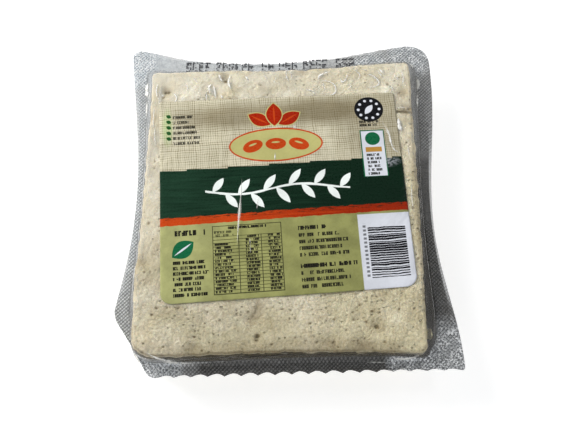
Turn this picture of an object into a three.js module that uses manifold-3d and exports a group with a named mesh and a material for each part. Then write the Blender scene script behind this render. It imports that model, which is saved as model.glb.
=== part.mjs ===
// A block of firm tofu, vacuum sealed between two clear films, with a paper label on the top film.
// Millimetres, +Z up. The pack lies on its base and the origin is the middle of its outline.
// Each outline runs anticlockwise from its near left corner, where near is the -Y side.
import * as THREE from 'three';
import { mergeVertices } from 'three/addons/utils/BufferGeometryUtils.js';
import Module from 'manifold-3d';

const wasm = await Module();
wasm.setup();

// ---- the tofu block ----
const blockHeight = 25;
const blockCorners = [
  { x: -60.6, y: -68.0, rounding: 10 },
  { x: 53.6, y: -67.5, rounding: 3.5 },
  { x: 54.4, y: 61.6, rounding: 4 },
  { x: -57.6, y: 58.4, rounding: 4 },
];
const blockSides = [
  { steps: 26, pinch: 0.8 },
  { steps: 22, pinch: -0.5 },
  { steps: 22, pinch: 0.6 },
  { steps: 22, pinch: 0.4, deepest: 0.3 },
];
const topEdgeRounding = 3;
const baseEdgeRounding = 2.5;
const roundingSteps = 3;
const topRingInsets = [5.2, 7.6, 10.2, 13, 16, 20]; // the margin that the label leaves bare
const topRingScales = [0.56, 0.38, 0.2]; // the middle, under the label
const baseRingScale = 0.5;

// ---- the top face: a slow swell, with the larger pits, cracks and worn edges ----
const swellHeight = 0.45;
const swellLength = { x: 19, y: 24 };
const dents = [
  { x: -11, y: -61, radius: 2.6, depth: 1.4 },
  { x: -11.2, y: -50, radius: 2.6, depth: 0.9 },
  { x: -13, y: -54.5, radius: 2.8, depth: 0.8 },
  { x: 36, y: -57, radius: 3.4, depth: 0.7 },
  { x: 17, y: -63.5, radius: 3, depth: 0.8 },
  { x: 32, y: -66.5, radius: 2.4, depth: 1.2 },
  { x: -36, y: -65.5, radius: 3.2, depth: 0.9 },
  { x: -50.5, y: 48.5, radius: 2.6, depth: 0.9 },
  { x: -25.3, y: 54.5, radius: 2.4, depth: 1 },
  { x: 8, y: 57.5, radius: 3.2, depth: 0.9 },
  { x: 51.5, y: 38, radius: 2.8, depth: 1.4 },
  { x: 50.5, y: 46, radius: 3, depth: 0.9 },
  { x: -57, y: 36, radius: 3, depth: 1 },
  { x: -57.5, y: -30, radius: 3, depth: 0.7 },
];

// ---- the sealed flange that runs round the block ----
const flangeUnderside = 17.2; // height of its lower face beside the block
const flangeThickness = 0.8;
const flangeCorners = [
  { x: -51.7, y: -74.4, rounding: 3 },
  { x: 68.5, y: -72.8, rounding: 1.5 },
  { x: 66.3, y: 74.4, rounding: 7 },
  { x: -67.9, y: 74.4, rounding: 4 },
  { x: -68.5, y: -48.5, rounding: 3 },
];
const flangeSides = [
  { steps: 72, teeth: 18, toothDepth: 1.25 }, // near, cut with a toothed blade
  { steps: 18, pinch: 6.4, deepest: 0.43, sharpness: 2, curl: 5 },
  { steps: 24, pinch: 5, deepest: 0.6, sharpness: 1.1, curl: 6, teeth: 20, toothDepth: 0.3 },
  { steps: 16, pinch: 5.8, deepest: 0.55, curl: 5 },
  { steps: 4, pinch: -1.5 }, // the corner that is bent over
];
const flangeKnee = { share: 0.7, dropShare: 0.12 }; // the line that the seal curls down from
const flangeWave = { height: 0.5, turns: 5, phase: 1 };
const cornerSteps = 4;

// ---- the film between the block and the flange ----
const filmTop = { inset: 1.2, drop: 1.2 }; // where the top film leaves the edge of the block
const filmFootShare = 0.32; // how far out it meets the flange
const filmBuried = { inset: 5, drop: 4 };
const pocketGap = { atFlange: 1.3, atFoot: 0.7 }; // the lower film stands off the wall
const pocketFootHeight = 7;
const pocketBuriedInset = 2;

// ---- the label ----
const labelCorners = [
  { x: -49.0, y: -47.85, rounding: 4.5 },
  { x: 50.4, y: -41.45, rounding: 4.5 },
  { x: 46.6, y: 45.65, rounding: 1.2 },
  { x: -53.7, y: 42.95, rounding: 1.2 },
];
const labelSides = [{ steps: 14 }, { steps: 12 }, { steps: 14 }, { steps: 12 }];
const labelGap = 0.3;
const labelThickness = 0.35;
const labelRingScales = [1, 0.82, 0.62, 0.42, 0.22];

const finishes = {
  pack: new THREE.MeshStandardMaterial({ color: 0xd8ceb4, roughness: 0.3, metalness: 0 }),
  label: new THREE.MeshStandardMaterial({ color: 0xb6b283, roughness: 0.4, metalness: 0 }),
};

// Height of the top face of the tofu at a point.
function topHeight(x, y) {
  const swell = swellHeight * Math.sin(x / swellLength.x + 0.6) * Math.cos(y / swellLength.y - 0.3);
  let height = blockHeight + swell;
  for (const dent of dents) {
    const distance = Math.hypot(x - dent.x, y - dent.y) / dent.radius;
    height -= dent.depth * Math.exp(-distance * distance);
  }
  return height;
}

// One side of an outline: pinched inwards between its ends, and cut with teeth whose tips stay out.
function sidePoints(from, to, side) {
  const { steps, pinch = 0, deepest = 0.5, sharpness = 1, curl = 0, teeth = 0, toothDepth = 0 } = side;
  const along = new THREE.Vector2().subVectors(to, from);
  const inward = new THREE.Vector2(-along.y, along.x).normalize();
  const warp = Math.log(0.5) / Math.log(deepest);
  const points = [];
  for (let step = 0; step <= steps; step++) {
    const share = step / steps;
    const profile = Math.sin(Math.PI * share ** warp) ** sharpness || 0;
    const notch = toothDepth * Math.abs(Math.sin(Math.PI * teeth * share));
    const base = from.clone().addScaledVector(along, share).addScaledVector(inward, pinch * profile);
    const place = base.clone().addScaledVector(inward, notch);
    points.push({ place, base, drop: curl * profile });
  }
  return points;
}

// A closed outline of such sides, with a round corner between each two.
function outlinePoints(corners, sides) {
  const count = corners.length;
  const spots = corners.map((corner) => new THREE.Vector2(corner.x, corner.y));
  const step = (from, to, distance) => {
    const way = new THREE.Vector2().subVectors(spots[to], spots[from]).setLength(distance);
    return spots[from].clone().add(way);
  };
  const points = [];
  for (let index = 0; index < count; index++) {
    const next = (index + 1) % count;
    const after = (index + 2) % count;
    const from = step(index, next, corners[index].rounding);
    const to = step(next, index, corners[next].rounding);
    const onward = step(next, after, corners[next].rounding);
    points.push(...sidePoints(from, to, sides[index]));
    const bend = new THREE.QuadraticBezierCurve(to, spots[next], onward);
    for (let part = 1; part < cornerSteps; part++) {
      const place = bend.getPoint(part / cornerSteps);
      points.push({ place, base: place, drop: 0 });
    }
  }
  return points;
}

// Rings of points joined in order: ring 0 and the last are closed by a point or by each other.
function ringGeometry(rings, firstTip, lastTip) {
  const count = rings[0].length;
  const positions = rings.flat().flatMap((point) => [point.x, point.y, point.z]);
  const faces = [];
  const corner = (ring, index) => ring * count + (index % count);
  const bands = firstTip ? rings.length - 1 : rings.length;
  for (let ring = 0; ring < bands; ring++) {
    const next = (ring + 1) % rings.length;
    for (let index = 0; index < count; index++) {
      faces.push(corner(ring, index), corner(ring, index + 1), corner(next, index + 1));
      faces.push(corner(ring, index), corner(next, index + 1), corner(next, index));
    }
  }
  if (firstTip) {
    positions.push(firstTip.x, firstTip.y, firstTip.z, lastTip.x, lastTip.y, lastTip.z);
    const first = rings.length * count;
    const lastRing = rings.length - 1;
    for (let index = 0; index < count; index++) {
      faces.push(first, corner(0, index + 1), corner(0, index));
      faces.push(first + 1, corner(lastRing, index), corner(lastRing, index + 1));
    }
  }
  const geometry = new THREE.BufferGeometry();
  geometry.setAttribute('position', new THREE.Float32BufferAttribute(positions, 3));
  geometry.setIndex(faces);
  return mergeVertices(geometry);
}

function middleOf(points) {
  const middle = new THREE.Vector2();
  for (const point of points) middle.addScaledVector(point.place, 1 / points.length);
  return middle;
}

const blockOutline = outlinePoints(blockCorners, blockSides);
const blockMiddle = middleOf(blockOutline);

// The point that lies the inset inside an outline point, towards the middle of the block.
function insetPoint(place, inset) {
  const way = new THREE.Vector2().subVectors(blockMiddle, place).setLength(Math.abs(inset));
  return inset < 0 ? place.clone().sub(way) : place.clone().add(way);
}

function scaledPoint(place, scale, middle) {
  return middle.clone().lerp(place, scale);
}

function blockGeometry() {
  const ring = (placeOf, heightOf) => blockOutline.map(({ place }) => {
    const { x, y } = placeOf(place);
    return new THREE.Vector3(x, y, heightOf(x, y));
  });
  const rings = [ring((place) => scaledPoint(place, baseRingScale, blockMiddle), () => 0)];
  for (let step = 0; step <= roundingSteps; step++) {
    const turn = (Math.PI / 2) * (step / roundingSteps);
    const inset = baseEdgeRounding * (1 - Math.sin(turn));
    const height = baseEdgeRounding * (1 - Math.cos(turn));
    rings.push(ring((place) => insetPoint(place, inset), () => height));
  }
  for (let step = 0; step <= roundingSteps; step++) {
    const turn = (Math.PI / 2) * (step / roundingSteps);
    const inset = topEdgeRounding * (1 - Math.cos(turn));
    const drop = topEdgeRounding * (1 - Math.sin(turn));
    rings.push(ring((place) => insetPoint(place, inset), (x, y) => topHeight(x, y) - drop));
  }
  for (const inset of topRingInsets) {
    rings.push(ring((place) => insetPoint(place, inset), topHeight));
  }
  for (const scale of topRingScales) {
    rings.push(ring((place) => scaledPoint(place, scale, blockMiddle), topHeight));
  }
  const { x, y } = blockMiddle;
  return ringGeometry(rings, new THREE.Vector3(x, y, 0), new THREE.Vector3(x, y, topHeight(x, y)));
}

// Where the block's outline is crossed on the way from its middle to a point outside it.
function blockEdgeToward(place) {
  const way = new THREE.Vector2().subVectors(place, blockMiddle).normalize();
  for (let index = 0; index < blockOutline.length; index++) {
    const start = blockOutline[index].place;
    const end = blockOutline[(index + 1) % blockOutline.length].place;
    const edge = new THREE.Vector2().subVectors(end, start);
    const toStart = new THREE.Vector2().subVectors(start, blockMiddle);
    const turn = way.cross(edge);
    const reach = toStart.cross(edge) / turn;
    const share = toStart.cross(way) / turn;
    if (turn > 0 && reach > 0 && share >= 0 && share <= 1) {
      return blockMiddle.clone().addScaledVector(way, reach);
    }
  }
  throw new Error('the flange outline point sees no edge of the block');
}

// A closed ring of one section round the block: the tented top film, the flange and the pocket wall.
function flangeGeometry() {
  const sections = outlinePoints(flangeCorners, flangeSides).map(({ place, base, drop }) => {
    const edge = blockEdgeToward(base);
    const foot = edge.clone().lerp(base, filmFootShare);
    const knee = foot.clone().lerp(base, flangeKnee.share);
    const under = insetPoint(edge, -pocketGap.atFlange);
    const angle = new THREE.Vector2().subVectors(base, blockMiddle).angle();
    const wave = flangeWave.height * Math.sin(flangeWave.turns * angle + flangeWave.phase);
    const rimHeight = flangeUnderside - drop + wave;
    const kneeHeight = flangeUnderside + (wave - drop) * flangeKnee.dropShare;
    const at = (spot, height) => new THREE.Vector3(spot.x, spot.y, height);
    return [
      at(insetPoint(edge, pocketBuriedInset), pocketFootHeight),
      at(insetPoint(edge, -pocketGap.atFoot), pocketFootHeight),
      at(under, flangeUnderside),
      at(knee, kneeHeight),
      at(place, rimHeight),
      at(place, rimHeight + flangeThickness),
      at(knee, kneeHeight + flangeThickness),
      at(foot, flangeUnderside + flangeThickness),
      at(insetPoint(edge, filmTop.inset), blockHeight - filmTop.drop),
      at(insetPoint(edge, filmBuried.inset), blockHeight - filmBuried.drop),
    ];
  });
  const rings = sections[0].map((_, level) => sections.map((section) => section[level]));
  return ringGeometry(rings);
}

function labelGeometry() {
  const outline = outlinePoints(labelCorners, labelSides);
  const middle = middleOf(outline);
  const ring = (scale, lift) => outline.map(({ place }) => {
    const { x, y } = scaledPoint(place, scale, middle);
    return new THREE.Vector3(x, y, topHeight(x, y) + lift);
  });
  const under = [...labelRingScales].reverse().map((scale) => ring(scale, labelGap));
  const above = labelRingScales.map((scale) => ring(scale, labelGap + labelThickness));
  const tip = (lift) => new THREE.Vector3(middle.x, middle.y, topHeight(middle.x, middle.y) + lift);
  return ringGeometry([...under, ...above], tip(labelGap), tip(labelGap + labelThickness));
}

function toSolid(geometry) {
  return new wasm.Manifold(new wasm.Mesh({
    numProp: 3,
    vertProperties: new Float32Array(geometry.attributes.position.array),
    triVerts: new Uint32Array(geometry.index.array),
  }));
}

function fromSolid(solid) {
  const { vertProperties, triVerts } = solid.getMesh();
  const geometry = new THREE.BufferGeometry();
  geometry.setAttribute('position', new THREE.BufferAttribute(vertProperties, 3));
  geometry.setIndex(new THREE.BufferAttribute(triVerts, 1));
  return geometry;
}

function namedMesh(name, geometry) {
  const mesh = new THREE.Mesh(geometry, finishes[name]);
  mesh.name = name;
  geometry.computeVertexNormals();
  return mesh;
}

const packSolid = toSolid(blockGeometry()).add(toSolid(flangeGeometry()));
const tofuPack = new THREE.Group();
tofuPack.add(namedMesh('pack', fromSolid(packSolid)));
tofuPack.add(namedMesh('label', labelGeometry()));

export default tofuPack;
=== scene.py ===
import bisect
import itertools
import math
import random

import bmesh
import bpy
from mathutils import Matrix, Vector, noise


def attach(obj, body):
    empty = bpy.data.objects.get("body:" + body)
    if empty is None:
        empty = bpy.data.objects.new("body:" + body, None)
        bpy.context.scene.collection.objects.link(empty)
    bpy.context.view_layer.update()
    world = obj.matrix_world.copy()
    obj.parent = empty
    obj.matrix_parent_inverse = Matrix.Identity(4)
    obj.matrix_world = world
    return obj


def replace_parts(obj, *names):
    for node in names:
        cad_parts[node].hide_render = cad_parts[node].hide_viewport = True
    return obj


# A block of firm tofu, vacuum sealed between two clear films, with a printed paper label.
# Sizes are in millimetres until they reach a mesh, where mm turns them to metres.

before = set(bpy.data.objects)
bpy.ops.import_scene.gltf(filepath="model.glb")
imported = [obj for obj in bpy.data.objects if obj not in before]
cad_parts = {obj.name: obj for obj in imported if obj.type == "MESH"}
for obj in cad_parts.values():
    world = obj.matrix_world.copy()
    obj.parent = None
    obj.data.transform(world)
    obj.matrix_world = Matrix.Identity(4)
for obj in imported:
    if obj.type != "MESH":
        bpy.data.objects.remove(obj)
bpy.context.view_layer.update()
mm = 0.001
scene = bpy.context.scene


# outlines, close to those of the solids; a corner is x, y and its rounding
block = {
    "height": 25.0,
    "corners": [(-60.4, -68.7, 10.5), (53.6, -67.6, 3), (54.4, 61.6, 2), (-57.6, 58.4, 2.4)],
    "sides": [
        {"pinch": 0.9, "deepest": 0.62},
        {"pinch": -0.5},
        {"pinch": 0.6},
        {"pinch": 0.4, "deepest": 0.3},
    ],
    "topRounding": 1.7,
    "baseRounding": 2.5,
    "swellHeight": 0.45,
    "swellLength": (19.0, 24.0),
    "swellPhase": (0.6, -0.3),
    "gridHalf": (57.0, 64.0),  # half the face's size, for the angles of its grid
    "gridEdge": 0.45,  # below 1 the grid is finer towards its edge
}
dents = [  # x, y, radius, depth of the larger pits, cracks and worn edges
    (-11.2, -61.2, 1.7, 1.0), (-11.2, -50, 3.4, 0.8), (-13, -54.5, 3.2, 0.8), (36, -57, 3.4, 0.7),
    (17, -63.5, 3, 0.8), (30, -67.5, 4.6, 1.3), (-36, -65.5, 3.2, 0.9), (-50.5, 48.5, 2.6, 0.9),
    (-25.3, 54.5, 2.4, 1), (8, 57.5, 3.2, 0.9), (51.5, 38, 2.8, 1.4), (50.5, 46, 3, 0.9),
    (-57, 36, 3, 1), (-57.5, -30, 3, 0.7),
]
flange = {
    "corners": [(-53.4, -74.7, 3), (68.4, -73.2, 1.5), (64.3, 74.3, 10), (-67.9, 74.3, 4),
                (-68.4, -50.2, 3)],
    "sides": [
        {"teeth": 18, "toothDepth": 1.25},
        {"pinch": 5.2, "deepest": 0.462, "sharpness": 2.25, "curl": 5},
        {"pinch": 5.6, "deepest": 0.535, "sharpness": 1.1, "curl": 6, "teeth": 20, "toothDepth": 0.3},
        {"pinch": 4.7, "deepest": 0.54, "curl": 5},
        {"pinch": 0.5, "deepest": 0.6},
    ],
    "footShare": 0.32,
    "kneeShare": 0.7,
    "kneeDrop": 0.12,
    "waveHeight": 0.5,
    "waveTurns": 5,
    "wavePhase": 1.0,
}


def sidePoints(start, end, side, steps):  # one side, pinched inwards and toothed as its values say
    along = end - start
    inward = Vector((-along.y, along.x)).normalized()
    warp = math.log(0.5) / math.log(side.get("deepest", 0.5))
    for step in range(steps + 1):
        share = step / steps
        profile = max(math.sin(math.pi * share ** warp), 0.0) ** side.get("sharpness", 1)
        notch = side.get("toothDepth", 0) * abs(math.sin(math.pi * side.get("teeth", 0) * share))
        base = start + along * share + inward * side.get("pinch", 0) * profile
        yield base, base + inward * notch, side.get("curl", 0) * profile


def outlinePoints(shape, steps=216, cornerSteps=8):
    spots = [Vector(corner[:2]) for corner in shape["corners"]]
    count = len(spots)
    points = []
    for index, corner in enumerate(shape["corners"]):
        ahead = (index + 1) % count
        way = (spots[ahead] - spots[index]).normalized()
        onward = (spots[(index + 2) % count] - spots[ahead]).normalized()
        rounding = shape["corners"][ahead][2]
        bendStart = spots[ahead] - way * rounding
        bendEnd = spots[ahead] + onward * rounding
        points += sidePoints(spots[index] + way * corner[2], bendStart, shape["sides"][index], steps)
        for step in range(1, cornerSteps):
            share = step / cornerSteps
            inner = bendStart.lerp(spots[ahead], share)
            bend = inner.lerp(spots[ahead].lerp(bendEnd, share), share)
            points.append((bend, bend, 0.0))
    return points


blockOutline = outlinePoints(block)
blockMiddle = sum((base for base, place, drop in blockOutline), Vector((0, 0))) / len(blockOutline)


def polarTable(points):  # angle round the block's middle, then base radius, cut radius and drop
    rows = []
    for base, place, drop in points:
        arm = base - blockMiddle
        rows.append((math.atan2(arm.y, arm.x), arm.length, (place - blockMiddle).length, drop))
    rows.sort()
    turn = 2 * math.pi
    rows.insert(0, (rows[-1][0] - turn,) + rows[-1][1:])
    rows.append((rows[1][0] + turn,) + rows[1][1:])
    return [row[0] for row in rows], rows


def polarAt(table, angle):
    angles, rows = table
    index = min(max(bisect.bisect(angles, angle), 1), len(rows) - 1)
    before, after = rows[index - 1], rows[index]
    share = (angle - before[0]) / max(after[0] - before[0], 1e-9)
    return [low + (high - low) * share for low, high in zip(before[1:], after[1:])]


blockTable = polarTable(blockOutline)
flangeTable = polarTable(outlinePoints(flange))


cutEdge = {  # how the block's cut edges stray from their outline
    "slowReach": 0.42,
    "slowScale": 14,
    "fine": ((0.24, 41), (0.14, 90)),  # reach and scale
    "worn": 0.8,  # the far edge is worn back in its middle
    "bulge": 0.9,  # the left side swells near its near end
    "bulgeAngle": -2.62,
    "bulgeWidth": 0.11,
}


def roundSpot(angle):  # a place on a ring, so noise read there closes on itself
    return Vector((math.cos(angle), math.sin(angle), 0.3))


def edgeWobble(angle):  # the cut edges aren't quite straight
    fine = sum(reach * noise.noise(roundSpot(angle) * scale) for reach, scale in cutEdge["fine"])
    return slowWobble(angle) + fine


def slowWobble(angle):
    around = roundSpot(angle)
    worn = 0.0
    if around.y > 0:
        worn = cutEdge["worn"] * smooth(0.52, 0.36, around.x) * smooth(-0.32, -0.14, around.x)
    bulge = cutEdge["bulge"] * math.exp(-((angle - cutEdge["bulgeAngle"]) / cutEdge["bulgeWidth"]) ** 2)
    return cutEdge["slowReach"] * noise.noise(around * cutEdge["slowScale"]) - worn + bulge


def nearSide(angle):  # 1 along the near side, 0 along the others
    return smooth(0.62, 0.82, -math.sin(angle))


def topHeight(x, y):
    (lengthX, lengthY), (phaseX, phaseY) = block["swellLength"], block["swellPhase"]
    swell = math.sin(x / lengthX + phaseX) * math.cos(y / lengthY + phaseY)
    return block["height"] + block["swellHeight"] * swell


def dentDepth(x, y):
    depth = 0.0
    for dentX, dentY, radius, deep in dents:
        distance = ((x - dentX) ** 2 + (y - dentY) ** 2) / radius ** 2
        if distance < 9:  # three radii, squared
            depth += deep * math.exp(-distance)
    return depth


def smooth(low, high, value):
    share = min(max((value - low) / (high - low), 0.0), 1.0)
    return share * share * (3 - 2 * share)


def blockGrid(bm, segments):
    # A square grid laid over the block's face in rings, finer towards its edge.
    # Gives each vertex its angle and its distance from the outline.
    bmesh.ops.create_grid(bm, x_segments=segments, y_segments=segments, size=1.0)
    halfX, halfY = block["gridHalf"]
    even = block["gridEdge"]
    facts = {}
    for vert in bm.verts:
        away = 1 - max(abs(vert.co.x), abs(vert.co.y))
        angle = math.atan2(vert.co.y * halfY, vert.co.x * halfX)
        radius = polarAt(blockTable, angle)[0]
        facts[vert] = (angle, radius * (even * away + (1 - even) * away * away))
    return facts


def openRim(bm):
    return [edge for edge in bm.edges if edge.is_boundary]


def spot(angle, radius, height):  # a place from its angle and radius round the block's middle
    x = blockMiddle.x + radius * math.cos(angle)
    y = blockMiddle.y + radius * math.sin(angle)
    return Vector((x, y, height))


def armTo(x, y):  # the way from the block's middle, and its angle
    arm = Vector((x, y)) - blockMiddle
    return arm.length, math.atan2(arm.y, arm.x)


def growRim(bm, edges, angles, placeOf):  # pulls the open rim out by one ring
    grown = bmesh.ops.extrude_edge_only(bm, edges=edges)["geom"]
    oldVerts = {vert for edge in edges for vert in edge.verts}
    newAngles = {}
    for item in grown:
        if isinstance(item, bmesh.types.BMVert):
            partner = next(edge.other_vert(item) for edge in item.link_edges
                           if edge.other_vert(item) in oldVerts)
            newAngles[item] = angles[partner]
    for vert, angle in newAngles.items():
        vert.co = placeOf(angle)
    rim = [item for item in grown if isinstance(item, bmesh.types.BMEdge)
           and item.verts[0] in newAngles and item.verts[1] in newAngles]
    return rim, newAngles


def roundedDrop(inset):  # how far the top edge's rounding falls at a distance inside the outline
    rounding = block["topRounding"]
    reach = min(inset / rounding, 1.0)
    return rounding * (1 - math.sqrt(max(1 - (1 - reach) ** 2, 0.0)))


def finishPiece(name, bm, materials, smoothShade=True):
    for vert in bm.verts:
        vert.co *= mm
    mesh = bpy.data.meshes.new(name)
    bm.to_mesh(mesh)
    bm.free()
    for polygon in mesh.polygons:
        polygon.use_smooth = smoothShade
    for material in materials:
        mesh.materials.append(material)
    piece = bpy.data.objects.new(name, mesh)
    scene.collection.objects.link(piece)
    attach(piece, "root")
    print(name, len(mesh.polygons), "faces")
    return piece


def thicken(piece, thickness, offset=-1.0):
    solidify = piece.modifiers.new("thickness", "SOLIDIFY")
    solidify.thickness = thickness * mm
    solidify.offset = offset
    solidify.use_even_offset = False


def newMaterial(name):
    material = bpy.data.materials.new(name)
    material.use_nodes = True
    material.node_tree.nodes.clear()
    return material, material.node_tree


def give(tree, socket, value):  # a number, a colour or another node's output
    if isinstance(value, bpy.types.NodeSocket):
        tree.links.new(value, socket)
    elif isinstance(value, (tuple, list)) and socket.type == "RGBA":
        socket.default_value = (*value, 1.0) if len(value) == 3 else value
    else:
        socket.default_value = value


def maths(tree, operation, first, second=0.0, third=0.0, clamp=False):
    node = tree.nodes.new("ShaderNodeMath")
    node.operation = operation
    node.use_clamp = clamp
    for socket, value in zip(node.inputs, (first, second, third)):
        give(tree, socket, value)
    return node.outputs[0]


def scaled(tree, value, factor, offset, clamp=False):  # value x factor + offset
    return maths(tree, "MULTIPLY_ADD", value, factor, offset, clamp)


def times(tree, first, second, clamp=False):
    return maths(tree, "MULTIPLY", first, second, clamp=clamp)


def plus(tree, first, second, clamp=False):
    return maths(tree, "ADD", first, second, clamp=clamp)


def minus(tree, first, second, clamp=False):
    return maths(tree, "SUBTRACT", first, second, clamp=clamp)


def size(tree, value):  # without its sign
    return maths(tree, "ABSOLUTE", value)


def larger(tree, first, second):
    return maths(tree, "MAXIMUM", first, second)


def mixColour(tree, factor, first, second, blend="MIX"):
    node = tree.nodes.new("ShaderNodeMix")
    node.data_type = "RGBA"
    node.blend_type = blend
    give(tree, node.inputs[0], factor)
    give(tree, node.inputs[6], first)
    give(tree, node.inputs[7], second)
    return node.outputs[2]


def tinted(tree, colour, layer, amount=1.0):  # a colour multiplied by a layer
    return mixColour(tree, amount, colour, layer, "MULTIPLY")


def ramp(tree, factor, *stops, colour=False):  # stops are (place, value or colour)
    node = tree.nodes.new("ShaderNodeValToRGB")
    band = node.color_ramp
    band.interpolation = "EASE"
    while len(band.elements) < len(stops):
        band.elements.new(0.5)
    for element, (place, value) in zip(band.elements, stops):
        element.position = place
        element.color = (*value, 1.0) if colour else (value, value, value, 1.0)
    give(tree, node.inputs[0], factor)
    return node.outputs[0]


def noiseField(tree, vector, scale, detail=2.0, roughness=0.5, distortion=0.0):
    node = tree.nodes.new("ShaderNodeTexNoise")
    give(tree, node.inputs["Vector"], vector)
    node.inputs["Scale"].default_value = scale
    node.inputs["Detail"].default_value = detail
    node.inputs["Roughness"].default_value = roughness
    node.inputs["Distortion"].default_value = distortion
    return node.outputs["Fac"]


def parts(tree, vector):
    node = tree.nodes.new("ShaderNodeSeparateXYZ")
    tree.links.new(vector, node.inputs[0])
    return node.outputs


def cells(tree, vector, scale):  # distance from the nearest cell's middle, and that cell's own number
    node = tree.nodes.new("ShaderNodeTexVoronoi")
    give(tree, node.inputs["Vector"], vector)
    node.inputs["Scale"].default_value = scale
    return node.outputs["Distance"], parts(tree, node.outputs["Color"])[0]


def shaken(tree, place, scale, reach):  # a place pushed about by noise
    node = tree.nodes.new("ShaderNodeTexNoise")
    tree.links.new(place, node.inputs["Vector"])
    node.inputs["Scale"].default_value = scale
    push = tree.nodes.new("ShaderNodeVectorMath")
    push.operation = "MULTIPLY_ADD"
    tree.links.new(node.outputs["Color"], push.inputs[0])
    push.inputs[1].default_value = (reach, reach, reach)
    tree.links.new(place, push.inputs[2])
    return push.outputs[0]


def bump(tree, height, strength, distance, normal=None):  # distance in millimetres
    node = tree.nodes.new("ShaderNodeBump")
    node.inputs["Strength"].default_value = strength
    node.inputs["Distance"].default_value = distance * mm
    give(tree, node.inputs["Height"], height)
    if normal is not None:
        tree.links.new(normal, node.inputs["Normal"])
    return node.outputs[0]


def objectPlace(tree, scale=(1, 1, 1), turn=0.0):  # object coordinates in millimetres
    place = tree.nodes.new("ShaderNodeTexCoord").outputs["Object"]
    mapping = tree.nodes.new("ShaderNodeMapping")
    tree.links.new(place, mapping.inputs["Vector"])
    mapping.inputs["Scale"].default_value = [value / mm for value in scale]
    mapping.inputs["Rotation"].default_value = (0, 0, turn)
    return mapping.outputs[0]


def joined(tree, x, y):
    node = tree.nodes.new("ShaderNodeCombineXYZ")
    for socket, value in zip(node.inputs, (x, y)):
        give(tree, socket, value)
    return node.outputs[0]


def stretched(tree, x, y, scaleX, scaleY, detail):  # noise with a scale of its own each way
    place = joined(tree, times(tree, x, scaleX), times(tree, y, scaleY))
    return noiseField(tree, place, 1.0, detail)


def attribute(tree, name):
    node = tree.nodes.new("ShaderNodeAttribute")
    node.attribute_name = name
    return node.outputs["Fac"]


def principled(tree, colour, roughness, normal=None, **values):
    shader = tree.nodes.new("ShaderNodeBsdfPrincipled")
    give(tree, shader.inputs["Base Color"], colour)
    give(tree, shader.inputs["Roughness"], roughness)
    if normal is not None:
        tree.links.new(normal, shader.inputs["Normal"])
    for name, value in values.items():
        give(tree, shader.inputs[name.replace("_", " ")], value)
    return shader.outputs[0]


def clearShader(tree):
    return tree.nodes.new("ShaderNodeBsdfTransparent").outputs[0]


def lookedAlong(tree, normal=None):  # 0 on a face seen square on, 1 on one seen along
    node = tree.nodes.new("ShaderNodeLayerWeight")
    node.inputs["Blend"].default_value = 0.5
    if normal is not None:
        tree.links.new(normal, node.inputs["Normal"])
    return node.outputs["Facing"]


def output(tree, shader):
    node = tree.nodes.new("ShaderNodeOutputMaterial")
    tree.links.new(shader, node.inputs["Surface"])


def mixShader(tree, factor, first, second):
    node = tree.nodes.new("ShaderNodeMixShader")
    give(tree, node.inputs[0], factor)
    tree.links.new(first, node.inputs[1])
    tree.links.new(second, node.inputs[2])
    return node.outputs[0]


tofu = {
    "segments": 224,  # grid across the top face
    "wallRings": 20,
    "baseSteps": 5,  # rings round the lower edge
    "baseShares": (0.93, 0.8, 0.6, 0.35, 0.12),  # rings under the block
    "lift": 0.45,  # its base stands on the lower film
    "edgeFade": 3.0,  # how far in the cut edge's unevenness runs
    "wallUneven": 1.3,  # the walls are less even than the top
    "curdHeight": 0.30,  # slow unevenness
    "grainHeight": 0.07,
    "pitCell": 2.1,  # spacing of the scattered pits
    "pitDepth": 0.45,
    "pitsAbove": 20.0,  # the drawn pits and cracks stay on the top face
    "cream": (0.77, 0.70, 0.525),
    "pale": (0.82, 0.765, 0.62),
    "deep": (0.64, 0.575, 0.39),
    "rimShadeTint": (0.66, 0.62, 0.57),  # painted shade at the cut edge under the strained film
    # painted shade: broader along the near edge, and deepest on the near wall
    "nearShadeTint": (0.42, 0.375, 0.31),
    "wallShadeTint": (0.15, 0.135, 0.11),
    "nearInset": 0.7,  # the near left edge is worn back from its outline
    "crumb": (55.2, -59.2, 18.9),
    "crumbRadii": (1.6, 2.0, 0.9),
    "cracks": [((45.6, 36.4), (50.0, 37.0), (54.6, 36.3), 0.75, 1.1),
               ((-10.9, -46.6), (-11.6, -49.5), (-13.2, -52.6), 0.7, 0.4)],
    "pitShadeBrown": (0.21, 0.165, 0.075),
    "dentShadeBrown": (0.33, 0.235, 0.115),
}
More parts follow.
